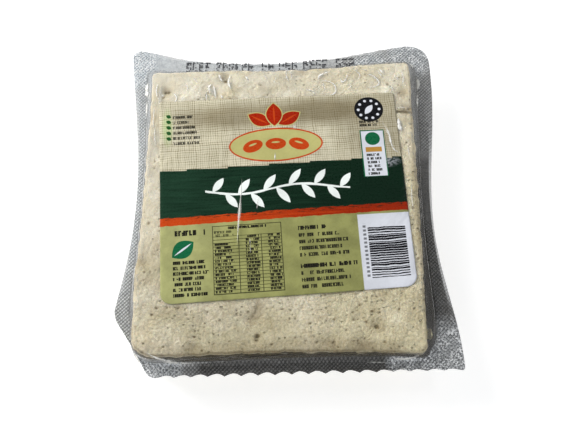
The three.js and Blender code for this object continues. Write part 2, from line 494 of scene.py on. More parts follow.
pits = [  # x, y, radius of the open pits on the top face
    (-50.6, -48.8, 0.9), (-46.5, -48.7, 0.8), (-42.2, -49, 0.8), (-52.2, -51.6, 0.9), (-30.6, -50.7, 0.6),
    (-19.5, -51.5, 0.6), (-35.4, -60.6, 0.6), (-47, -64.3, 0.6), (-54.9, -63, 0.6), (-27.9, -63.4, 0.5),
    (-32.4, -66.0, 0.6), (-11.3, -60.4, 1.1), (-11.6, -62.2, 0.7), (-5.8, -63.8, 0.7), (1.2, -53.9, 0.7),
    (13.5, -50.3, 0.55), (18.3, -54.3, 0.7), (25.8, -54.5, 0.65), (27.6, -54.4, 0.5), (33.1, -51.4, 0.9),
    (35.8, -51.8, 0.7), (43.7, -50.5, 0.65), (28.5, -48.7, 0.7), (34.5, -57.4, 1.1), (30.8, -55.5, 0.7),
    (37.3, -63.5, 0.8), (3.3, -61.2, 0.65), (9.0, -55.8, 0.7), (17.7, -63.2, 0.6), (29.8, -53.9, 0.5),
    (38.9, -44.4, 0.6), (22.9, -58.7, 0.6), (-1.7, -50.0, 0.8), (-49.9, 48.5, 0.9), (-51.3, 48.1, 0.7),
    (-52.2, 45.4, 0.6), (-25.3, 53.4, 1.0), (-10.3, 50.8, 0.7), (-7.2, 46.0, 0.5), (-37.2, 44.3, 0.6),
    (-45.3, 46.4, 0.5), (-33.8, 46.3, 0.5), (44.5, 50, 0.8), (51.0, 21.5, 0.6), (51.8, -8, 0.7),
    (51.0, -15.5, 0.6), (52.3, -30, 0.7), (-54.5, 12, 0.6), (-55.5, -13, 0.7), (-56, -34, 0.6),
    (53, 38.6, 0.8),
]


def drawnPit(x, y):  # the open pits and the cracks
    depth = 0.0
    for pitX, pitY, radius in pits:
        if abs(x - pitX) < radius * 1.5 and abs(y - pitY) < radius * 1.5:
            ragged = 1 + 0.5 * noise.noise(Vector((x * 1.4, y * 1.4, 0.0)))
            distance = math.hypot((x - pitX) * 0.85, y - pitY) * ragged
            depth = max(depth, smooth(radius, radius * 0.3, distance))
    for points, width, deep in crackLines:
        distance = min((Vector((x, y)) - point).length for point in points) / width
        if distance < 1.5:
            depth = max(depth, deep * math.exp(-distance * distance * 1.5))
    return depth


def scatteredPit(x, y, z):  # small pits, crowded at the near right
    cell = tofu["pitCell"]
    distances, points = noise.voronoi(Vector((x / cell, y / cell, z / cell)))
    crowd = 0.22 + 0.25 * smooth(-30, -60, y) * smooth(-20, 10, x)
    crowd += 0.3 * noise.noise(Vector((x * 0.05, y * 0.05, z * 0.05)))
    if abs(noise.cell(points[0] * 37.0)) >= crowd:
        return 0.0
    radius = 0.10 + 0.22 * abs(noise.cell(points[0] * 53.0))
    return 0.8 * smooth(radius, radius * 0.3, distances[0])


def pitAt(x, y, z):  # depth of the pits at a point, from 0 to 1
    drawn = drawnPit(x, y) if z > tofu["pitsAbove"] else 0.0
    return max(drawn, scatteredPit(x, y, z))


def curdOffset(x, y, z):  # lumps and grain
    place = Vector((x, y, z))
    slow = noise.noise(place * 0.11) * 1.3 + noise.noise(place * 0.26) + noise.noise(place * 0.6) * 0.3
    return slow * tofu["curdHeight"] + noise.noise(place * 1.15) * tofu["grainHeight"] * smooth(60, -20, y)


def tofuRadius(angle):
    worn = tofu["nearInset"] * smooth(0.55, -0.1, math.cos(angle))
    ragged = noise.noise(Vector((math.cos(angle) * 55, math.sin(angle) * 55, 6.0)))
    return polarAt(blockTable, angle)[0] + edgeWobble(angle) - nearSide(angle) * (worn + 0.35 * ragged)


def edgeShade(angle, inset, x):  # the dark line round the top face, a band on the near side
    near = nearSide(angle)
    nearBand = (0.42 + 0.15 * smooth(-8, 15, x)) * smooth(7, 3.5, inset)
    line = smooth(2.0 + 1.6 * smooth(0.8, 0.9, math.cos(angle)), 0.2, inset)
    return max(line, near * nearBand) * (1 - 0.7 * near * smooth(40, 46, x))


def wallShade(height, place):  # the same shade at the top of the walls
    return smooth(18, 21, height) * (1 - 0.6 * smooth(42, 47, place.x) * smooth(-60, -66, place.y))


def tofuFace(bm, hollow, rimShade):  # gives the angle of each vertex
    angles = {}
    for vert, (angle, inset) in blockGrid(bm, tofu["segments"]).items():
        outline = polarAt(blockTable, angle)[0]
        radius = outline + (tofuRadius(angle) - outline) * math.exp(-inset / tofu["edgeFade"])
        flat = spot(angle, radius - inset, 0)
        pit = pitAt(flat.x, flat.y, block["height"])
        dent = dentDepth(flat.x, flat.y)
        height = topHeight(flat.x, flat.y) - dent - roundedDrop(inset) - pit * tofu["pitDepth"]
        flat.z = height + curdOffset(flat.x, flat.y, block["height"])
        vert.co = flat
        vert[hollow] = min(pit + dent * 0.5, 1.0)
        vert[rimShade] = edgeShade(angle, inset, flat.x)
        angles[vert] = angle
    return angles


def tofuRings():  # heights and insets down the wall and round its lower edge
    wallTop = block["height"] - block["topRounding"]
    rounding = block["baseRounding"]
    wallBase = tofu["lift"] + rounding
    for ring in range(1, tofu["wallRings"] + 1):
        yield wallTop + (wallBase - wallTop) * ring / tofu["wallRings"], 0.0
    for step in range(1, tofu["baseSteps"] + 1):
        turn = math.pi / 2 * step / tofu["baseSteps"]
        yield wallBase - rounding * math.sin(turn), rounding * (1 - math.cos(turn))


def tofuWallPlace(angle, height, inset):
    outline = polarAt(blockTable, angle)[0]
    radius = outline - inset + (tofuRadius(angle) - outline) * smooth(8, 22, height)
    flat = spot(angle, radius, height)
    uneven = curdOffset(*flat) * tofu["wallUneven"] - pitAt(*flat) * tofu["pitDepth"]
    return spot(angle, radius + uneven, height)


def tofuBasePlace(angle, share):
    return spot(angle, polarAt(blockTable, angle)[0] * share, tofu["lift"])


def makeTofu(material):
    bm = bmesh.new()
    hollow = bm.verts.layers.float.new("hollow")
    rimShade = bm.verts.layers.float.new("rim")
    angles = tofuFace(bm, hollow, rimShade)
    rim = openRim(bm)
    for height, inset in tofuRings():
        rim, angles = growRim(bm, rim, angles, lambda angle: tofuWallPlace(angle, height, inset))
        for vert in angles:
            vert[rimShade] = wallShade(height, vert.co)
            vert[hollow] = pitAt(*vert.co)
    for share in tofu["baseShares"]:
        rim, angles = growRim(bm, rim, angles, lambda angle: tofuBasePlace(angle, share))
    bmesh.ops.edgeloop_fill(bm, edges=rim)
    bmesh.ops.recalc_face_normals(bm, faces=bm.faces)
    piece = finishPiece("tofuBlock", bm, [material])
    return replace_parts(piece, "pack")


curdLook = {  # scales are per millimetre, a pair is a slope and an offset, a drift its slopes along x and y
    "cloudScale": 0.05,
    "paintedLightDrift": (-0.0010, 0.0024),  # painted light: paler towards the left and the far end, where the window light stands
    "mottleScale": 0.30,
    "crumbleScale": 0.12,
    "crumbleReach": 1.8,
    "crumbleFade": (-0.0062, 0.34),  # the far side is smoother
    "stripAcross": (-0.12, -5.3),  # and so is a strip along the left side
    "stripAlong": (0.06, 3.2),
    "stripSmoothness": -0.5,
    "stripGain": -0.16,
    "speckleScale": 1.0,
    "blotchScale": 0.14,
    "gainOutwards": (0.0019, 1.05),  # painted light: paler to both sides
    "gainDrift": (0.0006, -0.0007),  # and to the right and the near end
    "curdScale": 0.9,
    "poreScale": 0.62,
    "poreStretch": (0.8, 1.0, 1.0),
    "poreCrowd": (0.0030, -0.09),  # more of them at the near right
    "poreShade": 0.62,
    "dentShadeShare": 0.4,  # painted shade in the dents and round the pits
    "onTop": (2.0, -46.0),  # by height, where the walls end
    "nearEdge": (-0.25, -15.5),  # towards the near side
    "nearWall": (-0.5, -31.0),
    "relief": 0.75,
    "roughness": 0.48,
    "glowReach": (0.0018, 0.0013, 0.0008),  # of light under the surface, in metres
}


def crumbliness(tree, place, strip):  # 1 where the curd is coarse, 0 where it is smooth
    crumbly = scaled(tree, parts(tree, place)[1], *curdLook["crumbleFade"])
    coarse = noiseField(tree, place, curdLook["crumbleScale"], 4.0, 0.65)
    crumbly = scaled(tree, coarse, curdLook["crumbleReach"], minus(tree, crumbly, 0.4))
    crumbly = scaled(tree, strip, curdLook["stripSmoothness"], crumbly)
    return ramp(tree, crumbly, (0.25, 0.12), (0.5, 0.36), (1.0, 1.0))


def curdPaintedLight(tree, across, along, strip):  # painted light: how pale the curd is by place
    gain = scaled(tree, size(tree, across), *curdLook["gainOutwards"])
    gain = scaled(tree, along, curdLook["gainDrift"][1], gain)
    gain = scaled(tree, across, curdLook["gainDrift"][0], gain)
    return scaled(tree, strip, curdLook["stripGain"], gain)


def curdColour(tree, place, crumbly, strip, speckle):
    across, along = parts(tree, place)[:2]
    cloudy = noiseField(tree, place, curdLook["cloudScale"], 3.0)
    cloudy = scaled(tree, along, curdLook["paintedLightDrift"][1], cloudy)
    cloudy = scaled(tree, across, curdLook["paintedLightDrift"][0], cloudy)
    colour = ramp(tree, cloudy, (0.30, tofu["deep"]), (0.50, tofu["cream"]), (0.72, tofu["pale"]),
                  colour=True)
    mottled = noiseField(tree, place, curdLook["mottleScale"], 4.0, 0.62)
    colour = mixColour(tree, ramp(tree, mottled, (0.52, 0.0), (0.80, 0.65)), colour, tofu["deep"])
    # the grain's own tone, with painted highlight on its raised bits and painted shade in its low ones
    grain = ramp(tree, speckle, (0.32, (0.62, 0.57, 0.47)), (0.43, (0.96, 0.945, 0.91)),
                 (0.54, (1.03, 1.03, 1.03)), (0.68, (1.26, 1.28, 1.34)), colour=True)
    colour = tinted(tree, colour, grain, crumbly)
    blotches = ramp(tree, noiseField(tree, place, curdLook["blotchScale"], 3.0, 0.55),
                    (0.32, (0.92, 0.90, 0.86)), (0.5, (1.01, 1.01, 1.01)), (0.68, (1.10, 1.11, 1.13)),
                    colour=True)
    colour = tinted(tree, colour, blotches)
    return tinted(tree, colour, curdPaintedLight(tree, across, along, strip))


def poreMask(tree, place):  # 1 in the small pores
    across, along = parts(tree, place)[:2]
    shakenPlace = shaken(tree, objectPlace(tree, curdLook["poreStretch"]), 0.8, 0.9)
    distance, number = cells(tree, shakenPlace, curdLook["poreScale"])
    crowd = scaled(tree, minus(tree, across, along), *curdLook["poreCrowd"])
    crowd = plus(tree, crowd, ramp(tree, noiseField(tree, place, 0.09, 2.0), (0.46, 0.0), (0.64, 0.75)))
    chosen = maths(tree, "GREATER_THAN", plus(tree, number, crowd), 1.0)
    return times(tree, ramp(tree, distance, (0.10, 1.0), (0.36, 0.0)), chosen)


def paintedEdgeShade(tree, place, colour):
    # painted shade at the cut edge and on the walls just below it, seen through the strained film: on the
    # walls where they are looked along
    along, up = parts(tree, place)[1:3]
    facing = lookedAlong(tree)
    onTop = scaled(tree, up, *curdLook["onTop"], clamp=True)
    onWall = ramp(tree, facing, (0.35, 0.15), (0.65, 1.0))
    shown = mixColour(tree, onTop, onWall, ramp(tree, facing, (0.35, 1.0), (0.65, 0.45)))
    nearEdge = scaled(tree, along, *curdLook["nearEdge"], clamp=True)
    nearWall = scaled(tree, along, *curdLook["nearWall"], clamp=True)
    tint = mixColour(tree, onTop, mixColour(tree, nearWall, tofu["rimShadeTint"], tofu["wallShadeTint"]),
                     mixColour(tree, nearEdge, tofu["rimShadeTint"], tofu["nearShadeTint"]))
    return tinted(tree, colour, tint, times(tree, attribute(tree, "rim"), shown))


def curdRelief(tree, place, crumbly, speckle, pores, curds):
    coarse = plus(tree, times(tree, speckle, 1.3), times(tree, pores, -0.8))
    coarse = scaled(tree, curds, -0.75, coarse)
    lumps = noiseField(tree, place, 0.16, 2.0, 0.45)
    return bump(tree, scaled(tree, coarse, crumbly, times(tree, lumps, 1.2)), 1.0, curdLook["relief"])


def tofuMaterial():
    material, tree = newMaterial("moistBeanCurd")
    place = objectPlace(tree)
    across, along = parts(tree, place)[:2]
    strip = times(tree, scaled(tree, across, *curdLook["stripAcross"], clamp=True),
                  scaled(tree, along, *curdLook["stripAlong"], clamp=True))
    crumbly = crumbliness(tree, place, strip)
    speckle = noiseField(tree, place, curdLook["speckleScale"], 5.0, 0.8)
    colour = curdColour(tree, place, crumbly, strip, speckle)
    curds, curdNumber = cells(tree, shaken(tree, place, 0.8, 1.1), curdLook["curdScale"])
    curdShade = ramp(tree, curds, (0.10, 1.06), (0.60, 1.0), (0.95, 0.80))
    curdShade = times(tree, curdShade, scaled(tree, curdNumber, 0.12, 0.94))
    colour = tinted(tree, colour, curdShade, crumbly)
    hollow = attribute(tree, "hollow")
    # painted shade, brown, in the dents and round the pits
    dentShade = times(tree, ramp(tree, hollow, (0.02, 0.0), (0.55, 1.0)), curdLook["dentShadeShare"])
    colour = mixColour(tree, dentShade, colour, tofu["dentShadeBrown"])
    colour = paintedEdgeShade(tree, place, colour)
    pores = poreMask(tree, place)
    # painted shade in the pits and pores, in brown
    pitShade = larger(tree, ramp(tree, hollow, (0.45, 0.0), (1.0, 0.8)),
                    times(tree, pores, curdLook["poreShade"]))
    colour = mixColour(tree, pitShade, colour, tofu["pitShadeBrown"])
    normal = curdRelief(tree, place, crumbly, speckle, pores, curds)
    output(tree, principled(tree, colour, curdLook["roughness"], normal, Subsurface_Weight=0.15,
                            Subsurface_Radius=curdLook["glowReach"], Subsurface_Scale=1.0,
                            Specular_IOR_Level=0.35))
    return material


def bentLine(start, middle, end, steps=7):
    points = []
    for step in range(steps + 1):
        share = step / steps
        inner = Vector(start).lerp(Vector(middle), share)
        points.append(inner.lerp(Vector(middle).lerp(Vector(end), share), share))
    return points


crackLines = [(bentLine(*crack[:3], steps=12), *crack[3:]) for crack in tofu["cracks"]]


def makeCrumb(material):  # a bit that has broken off and lies beside the block
    bm = bmesh.new()
    bmesh.ops.create_icosphere(bm, subdivisions=4, radius=1.0)
    for vert in bm.verts:
        vert.co *= 1 + 0.35 * noise.noise(vert.co * 1.4) + 0.12 * noise.noise(vert.co * 4)
        vert.co = vert.co * Vector(tofu["crumbRadii"]) + Vector(tofu["crumb"])
    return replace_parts(finishPiece("looseCurd", bm, [material]), "pack")


film = {
    "segments": 186,
    "lift": 0.16,  # top film above the tofu
    "leave": 0.4,  # inset where it leaves the block's edge
    "leaveFade": 12.0,  # how far in that inset is felt
    "edgeFade": 2.5,
    "dentShare": 0.45,  # it follows the block's dents this far
    "wrinkleHeight": 0.36,
    "wrinkleReach": 7.0,  # from the block's edge inwards
    "wrinkleSharpness": 8,
    "swayLevels": (3.0, 11.3, 19.7),  # where the noise that bends them is read
    "tentRings": 12,
    "tentGap": 0.7,  # between the block's edge and the film
    "tentFall": 0.25,
    "tentFlare": 0.25,  # share of the way to the foot
    "tentRise": 2.0,  # above the seal's foot
    "tentRipple": 0.35,
    "thickness": 0.08,
    "creaseThickness": 0.03,
    "clearance": 0.02,  # of what lies on the film
    "overFlange": 0.3,  # of what lies on the flange and on the tent
    "overTent": 0.5,
    "leaveDrop": 0.2,
    "sealHeight": 17.6,  # where the two films meet
    "nearFootShare": 0.13,  # the seal runs close under the near edge
    "nearCurl": 3.0,  # and climbs its wall
    "ridgeHighlightWhite": (0.86, 0.86, 0.83),  # painted highlight: the film's sharp ridges are drawn whitish
    # painted highlight colour of the crease ribbons
    "crease": (0.94, 0.93, 0.88),
    "foldShadeBrown": (0.10, 0.089, 0.068),  # painted shade, brown, in the fold between block and seal
    "mirror": 0.05,  # share of light mirrored head on
    "edgeMirror": 0.6,  # and more of it at a slant
    "roughness": 0.09,
    "dullRoughness": 0.25,
    "relief": 0.35,
    "ridgeCover": 0.42,
    "smokeRoughness": 0.25,
}
folds = [  # soft ridges of the top film: three points each, then height and half width
    ((35.5, 55.5), (40, 54), (40.8, 50.7), 0.40, 1.2), ((40.8, 50.7), (39, 48), (34, 48), 0.34, 1.2),
    ((15, 52), (15.4, 56), (20, 57.5), 0.40, 1.1), ((-33.6, 47.4), (-32.0, 51.6), (-29.4, 44), 0.5, 1.3),
    ((-23.6, 56), (-24, 52), (-23, 49), 0.45, 1.2), ((48.4, 33.4), (48.2, 29.6), (49.3, 26), 0.55, 1.2),
    ((-52.8, 52), (-54.4, 46), (-52.6, 38), 0.42, 1.2),
    ((51.5, 27), (51.9, 20), (51.0, 14), 0.30, 1.0), ((50.2, -20), (51.6, -27), (50.6, -35), 0.25, 1.1),
    ((-56.6, 24), (-57, 12), (-56.4, 0), 0.34, 1.2), ((-57.4, -10), (-58, -22), (-57.2, -34), 0.29, 1.2),
    ((42.0, 59.3), (43.4, 57), (43.4, 54.0), 0.36, 1.0), ((50.8, 56.5), (52, 52), (50.6, 47), 0.36, 1.0),
]
creaseGlintLines = [  # painted highlights along sharp creases of the top film: points, half width and strength
    ([(14.6, 51.8), (15.1, 54.5), (17.4, 55.8), (20.5, 57.2)], 0.45, 0.95),
    ([(14.6, 51.8), (18, 52.2), (21.4, 50.4), (22.2, 47), (20.4, 45.2), (15.4, 44.8)], 0.34, 0.7),
    ([(9, 47.8), (11, 47.6), (12.9, 46.4), (13.6, 45)], 0.38, 0.75),
    ([(24.4, 54.2), (24.9, 51.6), (26.5, 52.6), (27.8, 56.4)], 0.40, 0.85),
    ([(2.8, 57.4), (3.4, 53.5)], 0.34, 0.6), ([(0.6, 57.4), (1.2, 54), (2.4, 51.2)], 0.34, 0.5),
    ([(16.6, 51.4), (17.7, 47.4)], 0.3, 0.45), ([(-17.2, 55.8), (-15.6, 53.2)], 0.6, 0.9),
    ([(41.2, 57.9), (43.4, 54.5)], 0.34, 0.8), ([(40.2, 57.3), (42.4, 53.6)], 0.30, 0.65),
    ([(35.2, 55.4), (38.6, 53.9), (40.9, 50.7), (39.2, 48.7), (35.8, 48.2)], 0.36, 0.8),
    ([(50.8, 56.6), (51.4, 53), (51.0, 49.6)], 0.32, 0.7), ([(48.6, 51.8), (49.4, 55.4)], 0.3, 0.55),
    ([(47.2, 55.6), (48.8, 52.4), (50.2, 53.8)], 0.28, 0.5),
    ([(-32.2, 46.8), (-32.4, 50.2), (-31.2, 51.3)], 0.6, 1.0),
    ([(-31.2, 51.3), (-30.2, 49.2), (-29.4, 44.2)], 0.5, 0.9),
    ([(-28.5, 56.4), (-27.4, 53.6), (-26.4, 52.7)], 0.5, 0.9),
    ([(-23.5, 56.2), (-24.1, 52), (-22.9, 48.6)], 0.5, 0.95), ([(-33.6, 47.6), (-33.5, 43.5)], 0.36, 0.7),
    ([(-27.2, 46), (-26.6, 44.2)], 0.5, 0.6), ([(-47.7, 47.6), (-46.3, 44.6), (-47.5, 42.4)], 0.38, 0.8),
    ([(-52.9, 46.6), (-51.9, 45.9)], 0.7, 0.9), ([(-54.6, 52.6), (-55.2, 49), (-54.4, 44)], 0.4, 0.7),
    ([(-55.6, 41), (-56.0, 35), (-55.4, 29)], 0.36, 0.55),
    ([(-54.6, 33), (-55.0, 27), (-54.2, 22)], 0.3, 0.4),
    ([(48.1, 33.2), (48.2, 30), (49.2, 26.2)], 0.85, 1.0), ([(47.6, 30.4), (48.4, 27)], 0.5, 0.8),
    ([(46.2, 37.8), (50, 38.6), (53.6, 38.0)], 0.5, 0.25),
    ([(30.6, 57.6), (32.8, 54.8), (31.4, 51.8)], 0.3, 0.5),
    ([(33.4, 58), (36.2, 57)], 0.3, 0.5), ([(-9.5, 56.4), (-7, 53.4)], 0.3, 0.4),
    ([(-3.4, 54.6), (-4.6, 51.6)], 0.3, 0.4),
    ([(-39.6, 54.8), (-37.4, 52.2)], 0.3, 0.4), ([(-43.2, 52.4), (-41.6, 49.8), (-42.6, 47.4)], 0.3, 0.45),
    ([(29.2, 49.8), (27.2, 47.4)], 0.3, 0.4), ([(44.6, 50), (46.6, 47.6), (45.6, 45.8)], 0.3, 0.5),
    ([(51.2, 20), (51.7, 14)], 0.3, 0.4), ([(52, 4), (51.4, -4), (52, -11)], 0.3, 0.4),
]
sealGlints = [  # where the lower edge of the film catches the light along the seal
    ([(54.4, 64.9), (56.0, 63.6), (57.0, 61.5)], 1.0, 1.0),
    ([(58.5, 57.5), (58.8, 54), (58.1, 50.9)], 1.0, 1.0),
    ([(58.3, 50), (57.9, 46), (57.3, 41)], 0.5, 0.6), ([(-60.7, 57.4), (-60.9, 53), (-60.2, 49)], 0.95, 1.0),
    ([(-59.1, 50.4), (-59.2, 45.2)], 0.5, 0.7), ([(-60.5, 48.5), (-60.3, 39)], 0.5, 0.6),
    ([(-59.9, 37), (-59.7, 26)], 0.3, 0.5), ([(-59.6, 18), (-59.7, 6)], 0.3, 0.4),
    ([(40.5, -68.6), (45, -68.9), (50.5, -68.3)], 0.3, 0.7), ([(30, -69.6), (39, -69.9)], 0.3, 0.45),
    ([(-54, -66.6), (-47.4, -69.1), (-36, -69.6)], 0.35, 0.6),
]


foldLines = [(bentLine(*fold[:3]), *fold[3:]) for fold in folds]


def smoothLine(points, share):  # a place along a rounded line through the points, and its way
    points = [Vector(point) for point in points]
    spots = [points[0] * 2 - points[1]] + points + [points[-1] * 2 - points[-2]]
    along = share * (len(points) - 1)
    index = min(int(along), len(points) - 2)
    part = along - index
    before, start, end, after = spots[index:index + 4]
    bend = 2 * before - 5 * start + 4 * end - after
    sway = 3 * (start - end) + after - before
    place = start + 0.5 * part * (end - before + part * (bend + part * sway))
    way = 0.5 * (end - before) + part * bend + 1.5 * part * part * sway
    return place, way.normalized()


def taperAt(share, margin, power):  # thin at both ends, 1 in the middle
    return math.sin(math.pi * min(max(share, margin), 1 - margin)) ** power


def nearestOn(here, start, end):  # share along a straight line, and the distance from it
    along = end - start
    share = min(max((here - start).dot(along) / along.length_squared, 0.0), 1.0)
    return share, (here - start - along * share).length


# thin ribbons along the lines, drawn whitish as painted highlights
def makeGlintRibbons(name, lines, heightAt, height, material, node):
    bm = bmesh.new()
    # strength sets how strong the painted highlight is along each ribbon
    strength = bm.verts.layers.float.new("strength")
    for points, halfWidth, power in lines:
        steps = 6 + 5 * len(points)
        strip = bmesh.ops.create_grid(bm, x_segments=steps, y_segments=4, size=1.0)["verts"]
        for vert in strip:
            share, across = (vert.co.x + 1) / 2, vert.co.y
            taper = taperAt(share, 0.02, 0.6)
            place, way = smoothLine(points, share)
            uneven = 0.95 + 0.75 * noise.noise(Vector((place.x * 0.8, place.y * 0.8, 4.0)))
            place += Vector((-way.y, way.x)) * across * halfWidth * taper * uneven
            rise = height * (1 - across * across) * taper * uneven
            vert.co = (place.x, place.y, heightAt(place.x, place.y) + rise)
            vert[strength] = power * (1 - across * across) * taper * uneven
    piece = finishPiece(name, bm, [material])
    thicken(piece, film["creaseThickness"], 1.0)
    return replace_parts(piece, node)


def filmLevel(x, y, inset):  # the top film's underside, without its folds
    return topHeight(x, y) - film["dentShare"] * dentDepth(x, y) - roundedDrop(inset) + film["lift"]


def filmHeight(x, y):  # just over the top film's upper face
    reach, angle = armTo(x, y)
    inset = max(polarAt(blockTable, angle)[0] - reach, 0.0)
    height = filmLevel(x, y, inset) + film["thickness"]
    return height + max(wrinkle(x, y, inset), foldHeight(x, y)) + film["clearance"]


def tentPoint(angle, share, startRadius, startHeight):  # radius and height of the film beside the block
    blockRadius, foot = edgePath(angle)
    edge = blockRadius + film["tentGap"] + slowWobble(angle)
    flare = film["tentFlare"] * (foot - blockRadius)
    path = [Vector((startRadius, startHeight)), Vector((edge, startHeight - film["tentFall"])),
            Vector((edge + flare, footHeight(angle) + film["tentRise"])), Vector((foot, footHeight(angle)))]
    while len(path) > 1:  # de Casteljau, from four points to the one on the curve
        path = [path[index].lerp(path[index + 1], share) for index in range(len(path) - 1)]
    return path[0]


def slopeHeight(x, y):  # just over the upper face beside the block, on the tent or on the flange
    reach, angle = armTo(x, y)
    blockRadius, foot = edgePath(angle)
    if reach >= foot:
        cut = polarAt(flangeTable, angle)[1]
        return flangePlace(angle, (reach - foot) / (cut - foot))[0].z + film["overFlange"]
    low, high = 0.0, 1.0
    for halving in range(12):
        middle = (low + high) / 2
        start = blockRadius - film["leave"]
        radius, height = tentPoint(angle, middle, start, block["height"] - film["leaveDrop"])
        low, high = (middle, high) if radius < reach else (low, middle)
    return height + film["overTent"]


def creaseHighlightMaterial():
    material, tree = newMaterial("creasePaintedHighlight")
    # painted highlight: near white where the strength attribute is high, clear elsewhere
    bright = principled(tree, film["crease"], 0.14, Specular_IOR_Level=0.7)
    amount = times(tree, attribute(tree, "strength"), 0.95, clamp=True)
    output(tree, mixShader(tree, amount, clearShader(tree), bright))
    return material


def foldHeight(x, y):  # height of the drawn folds at a place
    height = 0.0
    here = Vector((x, y))
    for points, rise, width in foldLines:
        if (points[0] - here).length > 16:  # no fold is longer
            continue
        nearest, taper = 9.0, 0.0
        for index in range(len(points) - 1):
            share, distance = nearestOn(here, points[index], points[index + 1])
            if distance / width < nearest:
                nearest = distance / width
                taper = taperAt((index + share) / (len(points) - 1), 0.03, 0.5)
        if nearest < 3:
            height = max(height, rise * taper * math.exp(-nearest * nearest))
    return height


def nearFoldShade(x, y):  # painted shade in the near fold
    return smooth(-50, -64, y) * smooth(-49, -40, x) * (1 - 0.75 * smooth(41, 47, x))


def rightFoldShade(x, y):  # and in the near half of the right one
    return smooth(40, 55, x) * smooth(40, 2, y) * smooth(-62, -48, y)


def footHeight(angle):  # where the upper film meets the flange
    return film["sealHeight"] + film["nearCurl"] * smooth(0.68, 0.84, -math.sin(angle))


def edgePath(angle):  # radii of the block's side and of the seal's foot
    blockRadius = polarAt(blockTable, angle)[0]
    base = polarAt(flangeTable, angle)[0]
    share = flange["footShare"] + (film["nearFootShare"] - flange["footShare"]) * nearSide(angle)
    return blockRadius, blockRadius + share * (base - blockRadius)


def sway(x, y):  # a push from three noises, because noise_vector differs from run to run
    return Vector([noise.noise(Vector((x, y, level))) for level in film["swayLevels"]])


def wrinkle(x, y, inset):  # small folds of the film, strongest along the block's edges
    near = math.exp(-max(inset, 0.0) / film["wrinkleReach"])
    bent = Vector((x * 0.26 + y * 0.08, (y - x) * 0.11, 7.0)) + sway(x * 0.12, y * 0.12) * 1.6
    fold = (1 - abs(noise.noise(bent))) ** film["wrinkleSharpness"]
    fine = (1 - abs(noise.noise(bent * 2.0 + Vector((9, 4, 2))))) ** film["wrinkleSharpness"]
    near *= smooth(-66, -50, y)  # the film lies flat along the near edge
    return film["wrinkleHeight"] * (near * (fold + 0.5 * fine) + 0.12 * fine)


def filmFace(bm, ridge, dull):  # the top film over the block; gives the angle of each vertex
    angles = {}
    for vert, (angle, inset) in blockGrid(bm, film["segments"]).items():
        radius = polarAt(blockTable, angle)[0] + edgeWobble(angle) * math.exp(-inset / film["edgeFade"])
        inset += film["leave"] * (1 - min(inset / film["leaveFade"], 1))
        flat = spot(angle, radius - inset, 0)
        folded = max(wrinkle(flat.x, flat.y, inset), foldHeight(flat.x, flat.y))
        flat.z = filmLevel(flat.x, flat.y, inset) + folded
        vert.co = flat
        # the ridge value sets the painted highlight drawn along the folds
        vert[ridge] = 0.6 * smooth(0.16, 0.45, folded)
        vert[dull] = smooth(2.2, 0.8, inset)
        angles[vert] = angle
    return angles


def tentPlace(angle, share, start):  # the film from its start on the block down to the seal
    startRadius = (start.xy - blockMiddle).length
    radius, height = tentPoint(angle, share, startRadius, start.z)
    place = spot(angle, radius, height)
    ripple = noise.noise(Vector((place.x * 0.3, place.y * 0.3, share * 1.5)))
    return spot(angle, radius + film["tentRipple"] * ripple * math.sin(math.pi * share), height)


def makeTopFilm(material):
    bm = bmesh.new()
    tent, ridge, dull, foldShade = (bm.verts.layers.float.new(name) for name in ("tent", "ridge", "dull", "foldShade"))
    angles = filmFace(bm, ridge, dull)
    rim = openRim(bm)
    starts = {round(angle, 6): vert.co.copy() for vert, angle in angles.items() if vert.is_boundary}
    for ring in range(1, film["tentRings"] + 1):
        share = ring / film["tentRings"]
        rim, angles = growRim(bm, rim, angles,
                              lambda angle: tentPlace(angle, share, starts[round(angle, 6)]))
        for vert in angles:
            vert[tent] = smooth(0.0, 0.4, share)
            vert[foldShade] = nearFoldShade(*vert.co.xy)
            vert[ridge] = 0.0
            vert[dull] = smooth(0.9, 0.5, share)
    turnUp(bm)
    piece = finishPiece("topFilm", bm, [material])
    thicken(piece, film["thickness"], 1.0)
    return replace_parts(piece, "pack")


def turnUp(bm, wanted=1.0):  # faces of an open sheet all point the same way, up or down
    bmesh.ops.recalc_face_normals(bm, faces=bm.faces)
    bm.normal_update()
    total = sum(face.normal.z * face.calc_area() for face in bm.faces)
    if total * wanted < 0:
        bmesh.ops.reverse_faces(bm, faces=bm.faces)


pocket = {  # the lower film, drawn down round the block
    "segments": 90,
    "floor": 0.1,  # above the table
    "floorFade": 14.0,
    "floorWrinkle": 0.12,
    "gap": 0.7,  # from the block's wall
    "flare": 0.7,  # and this much wider at the top
    "bendExtra": 0.3,
    "bendSteps": 5,
    "wallSteps": 14,
    "wallTop": 16.3,
    "underSeal": 0.55,
    "sealShares": (0.35, 0.7, 1.0),
    "ripple": 0.3,
    "crease": 0.35,
    "filmGrey": (0.06, 0.08, 0.3),  # how much painted film grey its floor, its wall and its seal show
}


def pocketFloor(bm, tent):  # gives the angle of each vertex
    angles = {}
    for vert, (angle, inset) in blockGrid(bm, pocket["segments"]).items():
        inset += block["baseRounding"] * (1 - min(inset / pocket["floorFade"], 1))
        flat = spot(angle, polarAt(blockTable, angle)[0] - inset, 0)
        fold = wrinkle(flat.x * 1.3 + 40, flat.y * 1.1, 9.0)
        flat.z = pocket["floor"] + min(fold, pocket["floorWrinkle"])
        vert.co = flat
        vert[tent] = pocket["filmGrey"][0]
        angles[vert] = angle
    return angles


